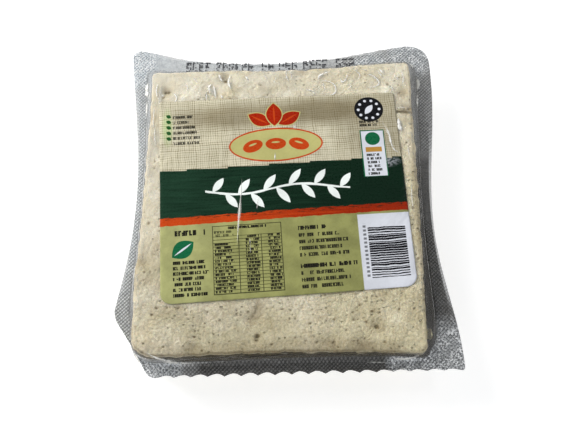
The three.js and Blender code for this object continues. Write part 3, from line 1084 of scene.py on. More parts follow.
def pocketRings():  # insets and heights round the lower bend and up the wall
    rounding = block["baseRounding"]
    for step in range(1, pocket["bendSteps"] + 1):
        turn = math.pi / 2 * step / pocket["bendSteps"]
        inset = rounding * (1 - math.sin(turn)) - pocket["gap"] * step / pocket["bendSteps"]
        height = pocket["floor"] + (rounding + pocket["bendExtra"]) * (1 - math.cos(turn))
        yield inset, height
    wallStart = height
    for step in range(1, pocket["wallSteps"] + 1):
        share = step / pocket["wallSteps"]
        yield -pocket["gap"] - pocket["flare"] * share, wallStart + (pocket["wallTop"] - wallStart) * share


def pocketPlace(angle, inset, height):
    radius = polarAt(blockTable, angle)[0] - inset
    place = spot(angle, radius, height)
    ripple = noise.noise(Vector((place.x * 0.12, place.y * 0.12, height * 0.05)))
    crease = (1 - abs(noise.noise(Vector((place.x * 0.2, place.y * 0.2, height * 0.09))))) ** 5
    fade = smooth(1, 5, height) * smooth(16.5, 12, height)
    return spot(angle, radius + (pocket["ripple"] * ripple + pocket["crease"] * crease) * fade, height)


def pocketSealPlace(angle, share):
    blockRadius, foot = edgePath(angle)
    radius = blockRadius + pocket["gap"] + pocket["flare"]
    wallTop = pocket["wallTop"]
    rise = footHeight(angle) - pocket["underSeal"] - wallTop
    return spot(angle, radius + (foot - radius) * share, wallTop + rise * share ** 0.6)


def makePocketFilm(material):
    bm = bmesh.new()
    tent = bm.verts.layers.float.new("tent")
    angles = pocketFloor(bm, tent)
    rim = openRim(bm)
    for inset, height in pocketRings():
        rim, angles = growRim(bm, rim, angles, lambda angle: pocketPlace(angle, inset, height))
        for vert in angles:
            vert[tent] = pocket["filmGrey"][1]
    for share in pocket["sealShares"]:
        rim, angles = growRim(bm, rim, angles, lambda angle: pocketSealPlace(angle, share))
        for vert in angles:
            vert[tent] = pocket["filmGrey"][2]
    turnUp(bm, -1.0)
    piece = finishPiece("pocketFilm", bm, [material])
    thicken(piece, film["thickness"], -1.0)
    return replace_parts(piece, "pack")


paintedFilmLight = {  # greys of the doubled film, painted light and shade: pale with painted reflection on the far left, dark in painted shade on the near right
    "tilt": (0.0068, -0.0054, 0.46),  # along x, along y and in the middle
    "marginAcross": (0.07, 2.9),  # a slope and an offset: painted shade, darker along the near margin
    "marginAlong": (-0.2, -12.6),
    "marginShade": 0.25,
    "cloudScale": 0.07,
    "cloudReach": (0.24, -0.12),
    "pale": (0.44, 0.463, 0.475),
    "middle": (0.385, 0.39, 0.385),
    "soft": (0.285, 0.285, 0.28),
    "shadedGrey": (0.082, 0.079, 0.074),
    "glint": (0.95, 0.96, 0.97),
}


def paintedFilmShade(tree, place):  # painted shade: 0 on the far left, where the film is pale with painted reflection, 1 on the near right
    x, y = parts(tree, place)[:2]
    slope = scaled(tree, x, paintedFilmLight["tilt"][0], paintedFilmLight["tilt"][2])
    slope = scaled(tree, y, paintedFilmLight["tilt"][1], slope)
    nearMargin = times(tree, scaled(tree, y, *paintedFilmLight["marginAlong"], clamp=True),
                       scaled(tree, x, *paintedFilmLight["marginAcross"], clamp=True))
    slope = scaled(tree, nearMargin, paintedFilmLight["marginShade"], slope)
    cloud = scaled(tree, noiseField(tree, place, paintedFilmLight["cloudScale"], 3.0), *paintedFilmLight["cloudReach"])
    return plus(tree, slope, cloud, clamp=True)


def paintedFilmGrey(tree, shade):
    return ramp(tree, shade, (0.05, paintedFilmLight["pale"]), (0.38, paintedFilmLight["middle"]), (0.65, paintedFilmLight["soft"]),
                (0.82, paintedFilmLight["shadedGrey"]), colour=True)


def filmNormal(tree, place):
    creases = noiseField(tree, objectPlace(tree, (0.5, 0.5, 0.5), 0.6), 0.35, 2.0, 0.5, 1.4)
    ridge = ramp(tree, size(tree, minus(tree, creases, 0.5)), (0.0, 1.0), (0.09, 0.0))
    fine = noiseField(tree, place, 0.8, 2.0)
    return bump(tree, plus(tree, times(tree, ridge, 0.4), times(tree, fine, 0.6)), 0.3, film["relief"])


def filmMirror(tree, normal, dull, shade):  # share of mirrored light, the same from both sides
    sheen = maths(tree, "POWER", lookedAlong(tree, normal), 5.0)
    sheen = scaled(tree, sheen, film["edgeMirror"], film["mirror"])
    sheen = times(tree, sheen, scaled(tree, dull, -0.65, 1.0))
    return times(tree, sheen, ramp(tree, shade, (0.55, 1.0), (0.8, 0.3)))


def filmMaterial():
    material, tree = newMaterial("clearFilm")
    place = objectPlace(tree)
    normal = filmNormal(tree, place)
    dull = attribute(tree, "dull")  # the strained film over the block's edge shines less
    gloss = tree.nodes.new("ShaderNodeBsdfGlossy")
    give(tree, gloss.inputs["Roughness"], scaled(tree, dull, film["dullRoughness"], film["roughness"]))
    tree.links.new(normal, gloss.inputs["Normal"])
    shade = paintedFilmShade(tree, place)
    ridgeHighlight = attribute(tree, "ridge")
    # colour of the denser film: painted film grey, painted shade in the near fold and painted highlight on
    # the ridges
    filmGrey = mixColour(tree, attribute(tree, "foldShade"), paintedFilmGrey(tree, shade), film["foldShadeBrown"])
    shadedGrey = principled(tree, mixColour(tree, ridgeHighlight, filmGrey, film["ridgeHighlightWhite"]), film["smokeRoughness"], normal)
    # denser where it is looked along, clear face on
    cover = times(tree, attribute(tree, "tent"), ramp(tree, lookedAlong(tree), (0.30, 0.08), (0.75, 0.5)))
    cover = larger(tree, cover, times(tree, ridgeHighlight, film["ridgeCover"]))
    body = mixShader(tree, cover, clearShader(tree), shadedGrey)
    output(tree, mixShader(tree, filmMirror(tree, normal, dull, shade), body, gloss.outputs[0]))
    return material


pool = {  # a cloudy sheet of whey between the block's wall and the seal, darkened with painted shade along the near side and the near right
    "stations": 720,
    "shares": (0.2, 0.4, 0.6, 0.8, 1.0),
    "inside": 0.8,  # it starts inside the block's side
    "shortOfFoot": 0.1,
    "depth": 0.9,  # under the seal's foot
    "rise": 0.6,  # towards the seal
    "thickness": 0.2,
    "cover": (0.22, 0.72),  # denser where the painted shade is deeper
    "roughness": 0.3,
}


def poolPlace(angle, share):
    blockRadius, foot = edgePath(angle)
    start = blockRadius - pool["inside"]
    height = footHeight(angle) - pool["depth"] + pool["rise"] * share
    return spot(angle, start + (foot - pool["shortOfFoot"] - start) * share, height)


def makeFoldWheyAndShade(material):
    bm = bmesh.new()
    foldShade = bm.verts.layers.float.new("foldShade")
    bmesh.ops.create_circle(bm, cap_ends=False, segments=pool["stations"], radius=1.0)
    angles = {vert: math.atan2(vert.co.y, vert.co.x) for vert in bm.verts}
    for vert, angle in angles.items():
        vert.co = poolPlace(angle, 0.0)
    rim = list(bm.edges)
    for share in pool["shares"]:
        rim, angles = growRim(bm, rim, angles, lambda angle: poolPlace(angle, share))
    for vert in bm.verts:
        vert[foldShade] = max(nearFoldShade(*vert.co.xy), rightFoldShade(*vert.co.xy))
    turnUp(bm)
    piece = finishPiece("foldWheyAndShade", bm, [material])
    thicken(piece, pool["thickness"], -1.0)
    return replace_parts(piece, "pack")


def wheyAndShadeMaterial():
    material, tree = newMaterial("wheyWithPaintedShade")
    foldShade = attribute(tree, "foldShade")
    # painted film grey, turning to painted fold shade along the near side and the near right
    colour = mixColour(tree, foldShade, paintedFilmGrey(tree, paintedFilmShade(tree, objectPlace(tree))), film["foldShadeBrown"])
    body = principled(tree, colour, pool["roughness"], Specular_IOR_Level=0.3)
    output(tree, mixShader(tree, scaled(tree, foldShade, *pool["cover"]), clearShader(tree), body))
    return material


seal = {
    "stations": 1700,
    "rings": 26,
    "thickness": 0.22,
    "knurlPitch": 1.1,
    "knurlHeight": 0.14,
    "knurlSharpness": 0.6,
    "climbShare": 0.35,  # how far out the near side's climb runs
    "unevenness": 0.25,
    "sparkles": [  # patches where it is crumpled and catches the light: x, y, reach
        (-50, -71, 11), (60, -67, 17), (46, -70, 9), (39, 62, 11), (56, 68, 12), (-64, 68, 14),
    ],
    "sparkleEdge": 2.4,
    # grounds of the painted light: darker under the painted glints where the film is in painted shade, pale
    # and cool where it shows painted reflection
    "sparkleGround": (0.29, 0.30, 0.31),
    "sparkleCover": 0.8,
    "coolGround": (0.38, 0.43, 0.47),
    "slantShade": 0.32,
    "relief": 0.3,
    "roughness": 0.26,
}


knurlTurn = math.pi / (seal["knurlPitch"] * math.sqrt(2))


def knurlAt(x, y):
    rows = abs(math.sin((x + y) * knurlTurn)) ** seal["knurlSharpness"]
    return rows * abs(math.sin((x - y) * knurlTurn))


def knurlMask(x, y, share):  # 1 on the knurled parts, 0 along the smooth far margin and right middle
    farMiddle = smooth(52, 60, y) * smooth(-60, -55, x) * smooth(30, 20, x)
    rightMiddle = smooth(50, 56, x) * smooth(-18, -6, y) * smooth(26, 16, y)
    start = smooth(0.0, 0.12 - 0.08 * smooth(-60, -66, y), share)
    return start * (1 - farMiddle) * (1 - rightMiddle)


def flangePlace(angle, share):  # share runs from the seal's foot to the cut edge
    foot = edgePath(angle)[1]
    cut, drop = polarAt(flangeTable, angle)[1:]
    wave = flange["waveHeight"] * math.sin(flange["waveTurns"] * angle + flange["wavePhase"])
    radius = foot + (cut - foot) * share
    knee = flange["kneeShare"]
    if share < knee:
        fall = (wave - drop) * flange["kneeDrop"] * (share / knee) ** 2
    else:
        outer = (share - knee) / (1 - knee)
        fall = (wave - drop) * (flange["kneeDrop"] + (1 - flange["kneeDrop"]) * outer ** 1.15)
    climb = (footHeight(angle) - film["sealHeight"]) * max(1 - share / seal["climbShare"], 0.0) ** 2
    place = spot(angle, radius, film["sealHeight"] + climb + fall)
    band = knurlMask(place.x, place.y, share)
    place.z += seal["knurlHeight"] * (knurlAt(place.x, place.y) - 0.4) * band
    place.z += seal["unevenness"] * noise.noise(place * 0.12) * smooth(0.0, 0.3, share)
    return place, band


def makeFlange(material):
    bm = bmesh.new()
    knurl = bm.verts.layers.float.new("knurl")
    bmesh.ops.create_circle(bm, cap_ends=False, segments=seal["stations"], radius=1.0)
    angles = {vert: math.atan2(vert.co.y, vert.co.x) for vert in bm.verts}
    for vert, angle in angles.items():
        vert.co, vert[knurl] = flangePlace(angle, 0.0)
    rim = list(bm.edges)
    for ring in range(1, seal["rings"] + 1):
        share = ring / seal["rings"]
        rim, angles = growRim(bm, rim, angles, lambda angle: flangePlace(angle, share)[0])
        for vert, angle in angles.items():
            vert[knurl] = flangePlace(angle, share)[1]
    turnUp(bm)
    piece = finishPiece("sealFlange", bm, [material])
    thicken(piece, seal["thickness"], -1.0)
    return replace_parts(piece, "pack")


def knurlPattern(tree, x, y):  # the pressed diamonds, as knurlAt makes them
    rows = maths(tree, "SINE", times(tree, plus(tree, x, y), knurlTurn))
    lanes = maths(tree, "SINE", times(tree, minus(tree, x, y), knurlTurn))
    rows = maths(tree, "POWER", size(tree, rows), seal["knurlSharpness"])
    return times(tree, rows, size(tree, lanes))


def sparklePatches(tree, x, y):
    patch = 0.0
    for spotX, spotY, reach in seal["sparkles"]:
        squares = plus(tree, maths(tree, "POWER", minus(tree, x, spotX), 2.0),
                       maths(tree, "POWER", minus(tree, y, spotY), 2.0))
        away = maths(tree, "SQRT", squares)
        near = scaled(tree, away, -seal["sparkleEdge"] / reach, seal["sparkleEdge"], clamp=True)
        patch = larger(tree, patch, near)
    return patch


def sparkleFlecks(tree, place, knurl, patch):  # small glints, most of them in the patches
    flecks = ramp(tree, noiseField(tree, place, 1.25, 2.0, 0.7), (0.505, 0.0), (0.545, 1.0))
    clumps = ramp(tree, noiseField(tree, place, 0.3, 2.0), (0.36, 0.35), (0.56, 1.0))
    flecks = times(tree, times(tree, flecks, clumps), scaled(tree, knurl, 0.5, 0.5))
    return times(tree, flecks, scaled(tree, patch, 0.95, 0.05))


def flangeMaterial():
    material, tree = newMaterial("knurledSeal")
    place = objectPlace(tree)
    knurl = attribute(tree, "knurl")
    x, y = parts(tree, place)[:2]
    # the flange's grey by place is painted light: pale painted reflection on the far left, painted shade on
    # the near right, evened out where it is looked along
    slant = ramp(tree, lookedAlong(tree), (0.35, 0.0), (0.65, 0.8))
    shade = mixColour(tree, slant, paintedFilmShade(tree, place), (seal["slantShade"],) * 3)
    diamonds = knurlPattern(tree, x, y)
    crumple = noiseField(tree, place, 0.75, 3.0, 0.75)
    pressed = times(tree, scaled(tree, crumple, 1.6, diamonds), knurl)
    normal = bump(tree, pressed, 0.9, seal["relief"])
    patch = times(tree, sparklePatches(tree, x, y), scaled(tree, knurl, 0.6, 0.4))
    ground = ramp(tree, shade, (0.08, seal["coolGround"]), (0.7, seal["sparkleGround"]), colour=True)
    colour = mixColour(tree, times(tree, patch, seal["sparkleCover"]), paintedFilmGrey(tree, shade), ground)
    # painted highlight on the tops of the knurl's diamonds, painted shade between them
    colour = tinted(tree, colour, ramp(tree, diamonds, (0.05, 0.48), (0.40, 0.92), (0.9, 1.55)), knurl)
    uneven = noiseField(tree, place, 0.55, 4.0, 0.85)
    colour = tinted(tree, colour, ramp(tree, uneven, (0.34, 0.72), (0.5, 1.0), (0.66, 1.3)))
    colour = mixColour(tree, sparkleFlecks(tree, place, knurl, patch), colour, paintedFilmLight["glint"])
    solid = principled(tree, colour, seal["roughness"], normal, Specular_IOR_Level=0.55)
    # denser where the painted shade is deeper
    cover = scaled(tree, shade, 0.25, scaled(tree, knurl, 0.08, 0.64), clamp=True)
    output(tree, mixShader(tree, cover, clearShader(tree), solid))
    return material


label = {
    "size": (100.0, 89.0),
    "corners": [(-49.0, -47.85), (51.4, -41.55), (46.8, 45.65), (-53.7, 42.95)],
    "rounding": [4.5, 4.5, 1.2, 1.2],
    "segments": 190,
    "lift": 0.14,  # above the top film
    "edgeDrop": 0.12,
    "thickness": 0.10,
    "unevenness": ((0.05, 0.35), (0.03, 0.9)),  # height and scale
}
printScale = 100.0  # label millimetres in one unit of its UV map
creases = [  # start, end in label millimetres, height and half width
    ((33.4, 40.0), (30.6, 20.0), 0.30, 0.55),
    ((95.2, 74.5), (97.6, 61.5), 0.25, 0.6),
    ((20.0, 82.0), (43.0, 81.6), 0.22, 2.2),
    ((55.0, 82.5), (80.0, 82.2), 0.22, 2.2),
    ((56.5, 84.0), (58.0, 62.0), 0.10, 2.0),
    ((70.8, 59.5), (71.8, 55.0), 0.2, 0.5),
    ((3.0, 64.0), (16.0, 55.0), 0.10, 2.5),
    ((44.0, 55.0), (43.0, 33.0), 0.12, 1.5),
]


labelGlints = [  # bright lines on the creased label: points, half width and strength
    ([(-17.8, 6), (-18.3, -2), (-18.9, -11), (-19.5, -24)], 0.22, 0.95),
    ([(-18.0, 0.0), (-18.4, -5), (-18.9, -12), (-19.3, -18)], 0.75, 0.28),
    ([(41.1, 31.4), (43.5, 26.4), (44.3, 21.5), (45.5, 18.2), (47.8, 16.5)], 0.42, 0.75),
    ([(42.6, 27.5), (44.0, 24.4)], 0.3, 0.5), ([(-4.1, 17.8), (-4.2, 13.8)], 0.26, 0.8),
    ([(-11.2, -2), (-11.6, -8)], 0.24, 0.45), ([(3.6, 30.2), (5.2, 28.6)], 0.8, 0.3),
    ([(-14.4, -20), (-14.0, -27)], 0.22, 0.35),
]


def labelPlace(u, v):  # label millimetres to the part's own
    across, up = u / label["size"][0], v / label["size"][1]
    near = Vector(label["corners"][0]).lerp(Vector(label["corners"][1]), across)
    far = Vector(label["corners"][3]).lerp(Vector(label["corners"][2]), across)
    return near.lerp(far, up)


def labelTop(x, y):  # the label's upper face at a place of the part
    u, v = label["size"][0] / 2, label["size"][1] / 2
    for attempt in range(5):
        here = labelPlace(u, v)
        u, v = u + x - here.x, v + y - here.y
    return filmHeight(x, y) + label["lift"] + label["thickness"] + labelRipple(u, v) + film["clearance"]


def labelRipple(u, v):
    here = Vector((u, v))
    height = 0.0
    for start, end, rise, width in creases:
        share, distance = nearestOn(here, Vector(start), Vector(end))
        distance /= width
        if distance < 3:
            height += rise * taperAt(share, 0.02, 0.5) * math.exp(-distance * distance)
    place = Vector((u, v, 0.0))
    return height + sum(reach * noise.noise(place * scale) for reach, scale in label["unevenness"])


def labelBoundary(angle):  # reach of a rounded rectangle from its middle, by angle
    halfU, halfV = label["size"][0] / 2, label["size"][1] / 2
    direction = Vector((math.cos(angle), math.sin(angle)))
    reach = min(halfU / max(abs(direction.x), 1e-9), halfV / max(abs(direction.y), 1e-9))
    corner = {(False, False): 0, (True, False): 1, (True, True): 2, (False, True): 3}
    rounding = label["rounding"][corner[(direction.x > 0, direction.y > 0)]]
    centre = Vector((math.copysign(halfU - rounding, direction.x),
                     math.copysign(halfV - rounding, direction.y)))
    hit = direction * reach
    if abs(hit.x) > abs(centre.x) and abs(hit.y) > abs(centre.y):
        along = centre.dot(direction)
        gap = centre.length_squared - along * along
        reach = along + math.sqrt(max(rounding * rounding - gap, 0.0))
    return reach


def makeLabel(material):
    bm = bmesh.new()
    bmesh.ops.create_grid(bm, x_segments=label["segments"], y_segments=label["segments"], size=1.0)
    uvLayer = bm.loops.layers.uv.new("print")
    halfU, halfV = label["size"][0] / 2, label["size"][1] / 2
    sheetPlaces = {}
    for vert in bm.verts:
        ring = max(abs(vert.co.x), abs(vert.co.y))
        angle = math.atan2(vert.co.y * halfV, vert.co.x * halfU)
        reach = labelBoundary(angle) * ring
        u = halfU + reach * math.cos(angle)
        v = halfV + reach * math.sin(angle)
        place = labelPlace(u, v)
        sheetPlaces[vert] = (u, v)
        height = filmHeight(place.x, place.y) + label["lift"] + labelRipple(u, v)
        vert.co = Vector((place.x, place.y, height - label["edgeDrop"] * smooth(0.97, 1.0, ring)))
    for face in bm.faces:
        for loop in face.loops:
            u, v = sheetPlaces[loop.vert]
            loop[uvLayer].uv = (u / printScale, v / printScale)
    turnUp(bm)
    piece = finishPiece("label", bm, [material])
    piece.name = "printedLabel"
    thicken(piece, label["thickness"], 1.0)
    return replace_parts(piece, "label")


inks = {
    "linen": (0.49, 0.445, 0.31),
    "linenDark": (0.20, 0.165, 0.09),
    "linenPale": (0.66, 0.615, 0.47),
    "linenShade": (0.19, 0.15, 0.075),
    "olivePale": (0.385, 0.39, 0.165),
    "olive": (0.33, 0.335, 0.125),
    "oliveDark": (0.29, 0.295, 0.105),
    "green": (0.0015, 0.015, 0.006),
    "greenLight": (0.012, 0.044, 0.023),
    "orange": (0.52, 0.055, 0.006),
    "orangeDark": (0.32, 0.020, 0.001),
    "emblem": (0.36, 0.016, 0.001),
    "white": (0.70, 0.72, 0.78),
    "black": (0.006, 0.006, 0.008),
    "bright": (0.86, 0.91, 0.88),
    "text": (0.012, 0.011, 0.007),
    "badgeFill": (0.50, 0.47, 0.18),
    "leaf": (0.016, 0.085, 0.018),
    "leafGlow": (0.42, 0.58, 0.22),
    "gold": (0.50, 0.26, 0.05),
    "pineGreen": (0.006, 0.12, 0.045),
}


class PrintSheet:
    # The label's print, laid down mask by mask in label millimetres.

    def __init__(self, tree):
        self.tree = tree
        uvMap = tree.nodes.new("ShaderNodeUVMap")
        uvMap.uv_map = "print"
        enlarged = tree.nodes.new("ShaderNodeVectorMath")
        enlarged.operation = "SCALE"
        tree.links.new(uvMap.outputs[0], enlarged.inputs[0])
        enlarged.inputs["Scale"].default_value = printScale
        self.place = enlarged.outputs[0]
        self.u, self.v = parts(tree, self.place)[:2]
        self.colour = inks["linen"]

    def lay(self, mask, ink):  # prints an ink where the mask is 1
        self.colour = mixColour(self.tree, mask, self.colour, ink)

    def box(self, left, right, low, high, soft=0.12):
        tree = self.tree
        across = size(tree, minus(tree, self.u, (left + right) / 2))
        up = size(tree, minus(tree, self.v, (low + high) / 2))
        outside = larger(tree, minus(tree, across, (right - left) / 2), minus(tree, up, (high - low) / 2))
        return scaled(tree, outside, -1 / soft, 0.5, clamp=True)

    def above(self, height, soft=0.12):  # 1 above a height, which may vary along u
        return scaled(self.tree, minus(self.tree, self.v, height), 1 / soft, 0.5, clamp=True)

    def below(self, height):
        return minus(self.tree, 1.0, self.above(height))

    def turned(self, middle, turn):  # distances from a middle along a turned axis and across it
        tree = self.tree
        x = minus(tree, self.u, middle[0])
        y = minus(tree, self.v, middle[1])
        cosine, sine = math.cos(turn), math.sin(turn)
        along = scaled(tree, y, sine, times(tree, x, cosine))
        return along, scaled(tree, y, cosine, times(tree, x, -sine))

    def oval(self, middle, radii, turn=0.0, soft=0.14):
        tree = self.tree
        squares = [maths(tree, "POWER", size(tree, maths(tree, "DIVIDE", distance, radius)), 2.0)
                   for distance, radius in zip(self.turned(middle, turn), radii)]
        away = maths(tree, "SQRT", plus(tree, *squares))
        inside = times(tree, minus(tree, 1.0, away), min(radii))
        return scaled(tree, inside, 1 / soft, 0.5, clamp=True)

    def leafShape(self, middle, length, width, turn, soft=0.14):  # two arcs that meet in points
        tree = self.tree
        along, over = self.turned(middle, turn)
        share = maths(tree, "DIVIDE", along, length / 2)
        bow = minus(tree, 1.0, times(tree, share, share))
        inside = minus(tree, times(tree, bow, width / 2), size(tree, over))
        return scaled(tree, inside, 1 / soft, 0.5, clamp=True)

    def either(self, masks):
        mask = masks[0]
        for other in masks[1:]:
            mask = larger(self.tree, mask, other)
        return mask

    def chance(self, x, y):  # a steady random number for a pair of whole numbers
        white = self.tree.nodes.new("ShaderNodeTexWhiteNoise")
        white.noise_dimensions = "2D"
        self.tree.links.new(joined(self.tree, x, y), white.inputs["Vector"])
        return white.outputs["Value"]

    def chosen(self, cell, lineId, seed, odds):  # 1 by chance, for a stroke of a cell of a line
        return maths(self.tree, "GREATER_THAN", self.chance(cell, plus(self.tree, lineId, seed)), odds)

    def strokes(self, part, rise, cell, lineId, bold):
        # Upright and level strokes: each is its middle in the cell, odds and seed.
        tree = self.tree
        masks = []
        for middle, odds, seed in ((0.2, 0.18, 11.0), (0.68, 0.36, 23.0)):
            off = size(tree, minus(tree, part, middle))
            thin = maths(tree, "LESS_THAN", off, scaled(tree, bold, 0.10, 0.13))
            masks.append(times(tree, self.chosen(cell, lineId, seed, odds), thin))
        for middle, odds, seed in ((0.12, 0.55, 37.0), (0.5, 0.5, 53.0), (0.88, 0.45, 71.0)):
            off = size(tree, minus(tree, rise, middle))
            thin = maths(tree, "LESS_THAN", off, scaled(tree, bold, 0.05, 0.09))
            short = maths(tree, "LESS_THAN", part, 0.82)
            masks.append(times(tree, times(tree, self.chosen(cell, lineId, seed, odds), thin), short))
        return self.either(masks)

    def wordLines(self, blocks):
        # Lines of small strokes in word lengths, with no letters. A block is left, right, top,
        # line pitch, number of lines, stroke height, ragged share, stroke width and boldness.
        tree = self.tree
        lineId, rise, width, bold = 0.0, 0.0, 0.0, 0.0
        for index, (left, right, top, pitch, rows, tall, ragged, wide, heavy) in enumerate(blocks):
            down = maths(tree, "DIVIDE", minus(tree, top, self.v), pitch)
            row = plus(tree, maths(tree, "FLOOR", down), 31.5 * (index + 1))
            part = maths(tree, "DIVIDE", maths(tree, "FRACT", down), tall / pitch)
            end = scaled(tree, self.chance(row, 3.0), -ragged * (right - left), right)
            inside = maths(tree, "GREATER_THAN", down, 0.0)
            for limit in (maths(tree, "LESS_THAN", down, float(rows)),
                          maths(tree, "GREATER_THAN", self.u, left),
                          maths(tree, "LESS_THAN", self.u, end), maths(tree, "LESS_THAN", part, 1.0)):
                inside = times(tree, inside, limit)
            lineId = scaled(tree, inside, row, lineId)
            rise = scaled(tree, inside, part, rise)
            width = scaled(tree, inside, wide, width)
            bold = scaled(tree, inside, heavy, bold)
        across = maths(tree, "DIVIDE", self.u, larger(tree, width, 0.2))
        cell = maths(tree, "FLOOR", across)
        strokes = self.strokes(maths(tree, "FRACT", across), rise, cell, lineId, bold)
        inText = maths(tree, "GREATER_THAN", lineId, 0.5)
        return times(tree, times(tree, strokes, inText), self.chosen(cell, lineId, 97.0, 0.12))

    def bars(self, left, right, low, high, pitch):  # a generic bar pattern that encodes nothing
        tree = self.tree
        sway = times(tree, noiseField(tree, self.place, 0.22, 1.0), 0.9)
        step = maths(tree, "DIVIDE", plus(tree, self.v, sway), pitch)
        share = scaled(tree, self.chance(maths(tree, "FLOOR", step), 7.0), 0.5, 0.36)
        dark = maths(tree, "LESS_THAN", maths(tree, "FRACT", step), share)
        return times(tree, dark, self.box(left, right, low, high))


linen = {  # the woven ground: thread pitches, then soft shadows as middle, radii, softness, depth
    "warp": 1.6,
    "threads": ((0.92, 5.0), (1.05, 9.0)),  # pitch and seed, across and up
    "slubs": (0.12, 1.5),
    "shadows": (((32.5, 80.6), (22, 5.4), 4.8, 0.64), ((68, 81.6), (20, 6.2), 5.2, 0.74),
                ((93, 72), (16, 20), 12.0, 0.34)),
}


def printLinen(sheet):
    tree = sheet.tree
    u, v, place = sheet.u, sheet.v, sheet.place
    warpU = plus(tree, u, times(tree, noiseField(tree, place, 0.18, 1.0), linen["warp"]))
    warpV = plus(tree, v, times(tree, noiseField(tree, place, 0.15, 1.0), linen["warp"]))
    gaps = []  # each thread has a dark gap of its own depth beside it
    for way, (pitch, seed) in zip((warpU, warpV), linen["threads"]):
        thread = maths(tree, "DIVIDE", way, pitch)
        depth = scaled(tree, sheet.chance(maths(tree, "FLOOR", thread), seed), 0.5, 0.2)
        gap = ramp(tree, maths(tree, "FRACT", thread), (0.0, 0.1), (0.25, 1.0), (0.55, 0.0))
        gaps.append(times(tree, gap, depth))
    threads = minus(tree, 1.0, plus(tree, *gaps), clamp=True)
    long, short = linen["slubs"]
    slubs = plus(tree, stretched(tree, u, v, long, short, 2.0), stretched(tree, u, v, short, long, 2.0))
    weave = scaled(tree, threads, 0.42, scaled(tree, slubs, 0.30, -0.05))
    sheet.colour = ramp(tree, weave, (0.25, inks["linenDark"]), (0.50, inks["linen"]),
                        (0.70, inks["linenPale"]), colour=True)
    for middle, radii, soft, depth in linen["shadows"]:
        sheet.lay(times(tree, sheet.oval(middle, radii, 0.0, soft), depth), inks["linenShade"])


def printField(sheet):  # the olive field and the white panel at its right
    tree = sheet.tree
    # painted sheen: the olive field is paler towards the left, in soft patches
    sheen = scaled(tree, noiseField(tree, sheet.place, 0.05, 2.0), 30.0, minus(tree, sheet.u, 15.0))
    olive = ramp(tree, maths(tree, "DIVIDE", sheen, 100.0), (0.05, inks["olivePale"]),
                 (0.32, inks["olive"]), (0.62, inks["oliveDark"]), colour=True)
    patchy = ramp(tree, noiseField(tree, sheet.place, 0.13, 3.0), (0.35, 0.87), (0.65, 1.10))
    sheet.lay(sheet.below(34.0), tinted(tree, olive, patchy))
    sheet.lay(sheet.box(79.2, 101, -1, 32.1, 0.25), inks["white"])


band = {  # heights over the label's near edge at its left end, then the rise along the label
    "top": (57.0, 0.009),
    "base": (35.2, 0.008),
    "stripe": (31.9, 0.008),  # the orange stripe under the band
    "stripeTop": 37.0,
    "strokeLength": 17.0,  # the top edge is painted in strokes
    "strokeDrop": -0.7,
    "rough": (1.3, 0.9),  # raggedness of the band's and the stripe's lower edges
}


def printBand(sheet):
    tree = sheet.tree
    u, v = sheet.u, sheet.v

    def sloping(name):
        height, rise = band[name]
        return scaled(tree, u, rise, height)

    stroke = maths(tree, "FRACT", scaled(tree, u, 1 / band["strokeLength"], 0.35))
    bandTop = scaled(tree, stroke, band["strokeDrop"], sloping("top"))
    rough = noiseField(tree, joined(tree, times(tree, u, 0.35), v), 0.9, 3.0)
    bandBase = scaled(tree, rough, band["rough"][0], sloping("base"))
    stripeBase = scaled(tree, rough, band["rough"][1], sloping("stripe"))
    # worn is painted sheen with streaks here: the orange and the green are paler towards the left
    worn = scaled(tree, u, 0.006, stretched(tree, u, v, 0.06, 1.1, 3.0))
    orange = mixColour(tree, ramp(tree, worn, (0.6, 0.0), (1.0, 1.0)), inks["orange"], inks["orangeDark"])
    sheet.lay(times(tree, sheet.above(stripeBase, 0.2), sheet.below(band["stripeTop"])), orange)
    green = mixColour(tree, ramp(tree, worn, (0.3, 0.0), (1.0, 1.0)), inks["greenLight"], inks["green"])
    sheet.lay(times(tree, sheet.above(bandBase, 0.15), sheet.below(bandTop)), green)
    dashes = ramp(tree, stretched(tree, u, v, 0.3, 3.0, 2.0), (0.56, 0.0), (0.62, 1.0))
    sheet.lay(times(tree, dashes, sheet.box(2, 98, 34.9, 36.6, 0.6)), inks["green"])


badge = {  # an oval with three beans, and leaves over it
    "middle": (48.5, 66.2),
    "radii": (19.6, 7.9),
    "rim": 0.7,
    "beans": ((-9.6, -0.2, 0.35), (0, 0.4, 0.0), (9.6, -0.2, -0.35)),  # offset, lift, turn
    "beanRadii": (4.3, 2.7),
    "eyeRadii": (1.7, 0.42),
    "eyeLift": 0.7,
    "leaves": (((42.2, 78.4), 11.5, 6.6, 2.62), ((54.8, 78.4), 11.5, 6.6, 0.52),
               ((48.5, 80.6), 12.0, 7.4, 1.571)),  # middle, length, width, turn
}


def printBadge(sheet):
    x, y = badge["middle"]
    radiusX, radiusY = badge["radii"]
    sheet.lay(sheet.oval((x, y), (radiusX, radiusY)), inks["orange"])
    sheet.lay(sheet.oval((x, y), (radiusX - badge["rim"], radiusY - badge["rim"])), inks["badgeFill"])
    for part, up, ink in (("beanRadii", 0.0, "orange"), ("eyeRadii", badge["eyeLift"], "badgeFill")):
        sheet.lay(sheet.either([sheet.oval((x + offset, y + up + lift), badge[part], turn)
                                for offset, lift, turn in badge["beans"]]), inks[ink])
    for middle, length, width, turn in badge["leaves"]:
        sheet.lay(sheet.leafShape(middle, length, width, turn), inks["badgeFill"])
        sheet.lay(sheet.leafShape(middle, length - 1.0, width - 0.8, turn), inks["emblem"])
        sheet.lay(sheet.leafShape(middle, length - 3.4, 0.8, turn), inks["orange"])


roundSeal = {  # a dark disc with a ring of dots and a leaf
    "middle": (88.6, 81.0),
    "radius": 6.1,
    "dots": 10,
    "dotRing": 4.4,
    "dotRadius": 0.62,
    "leaf": (5.6, 2.6, 0.9),  # length, width, turn
}


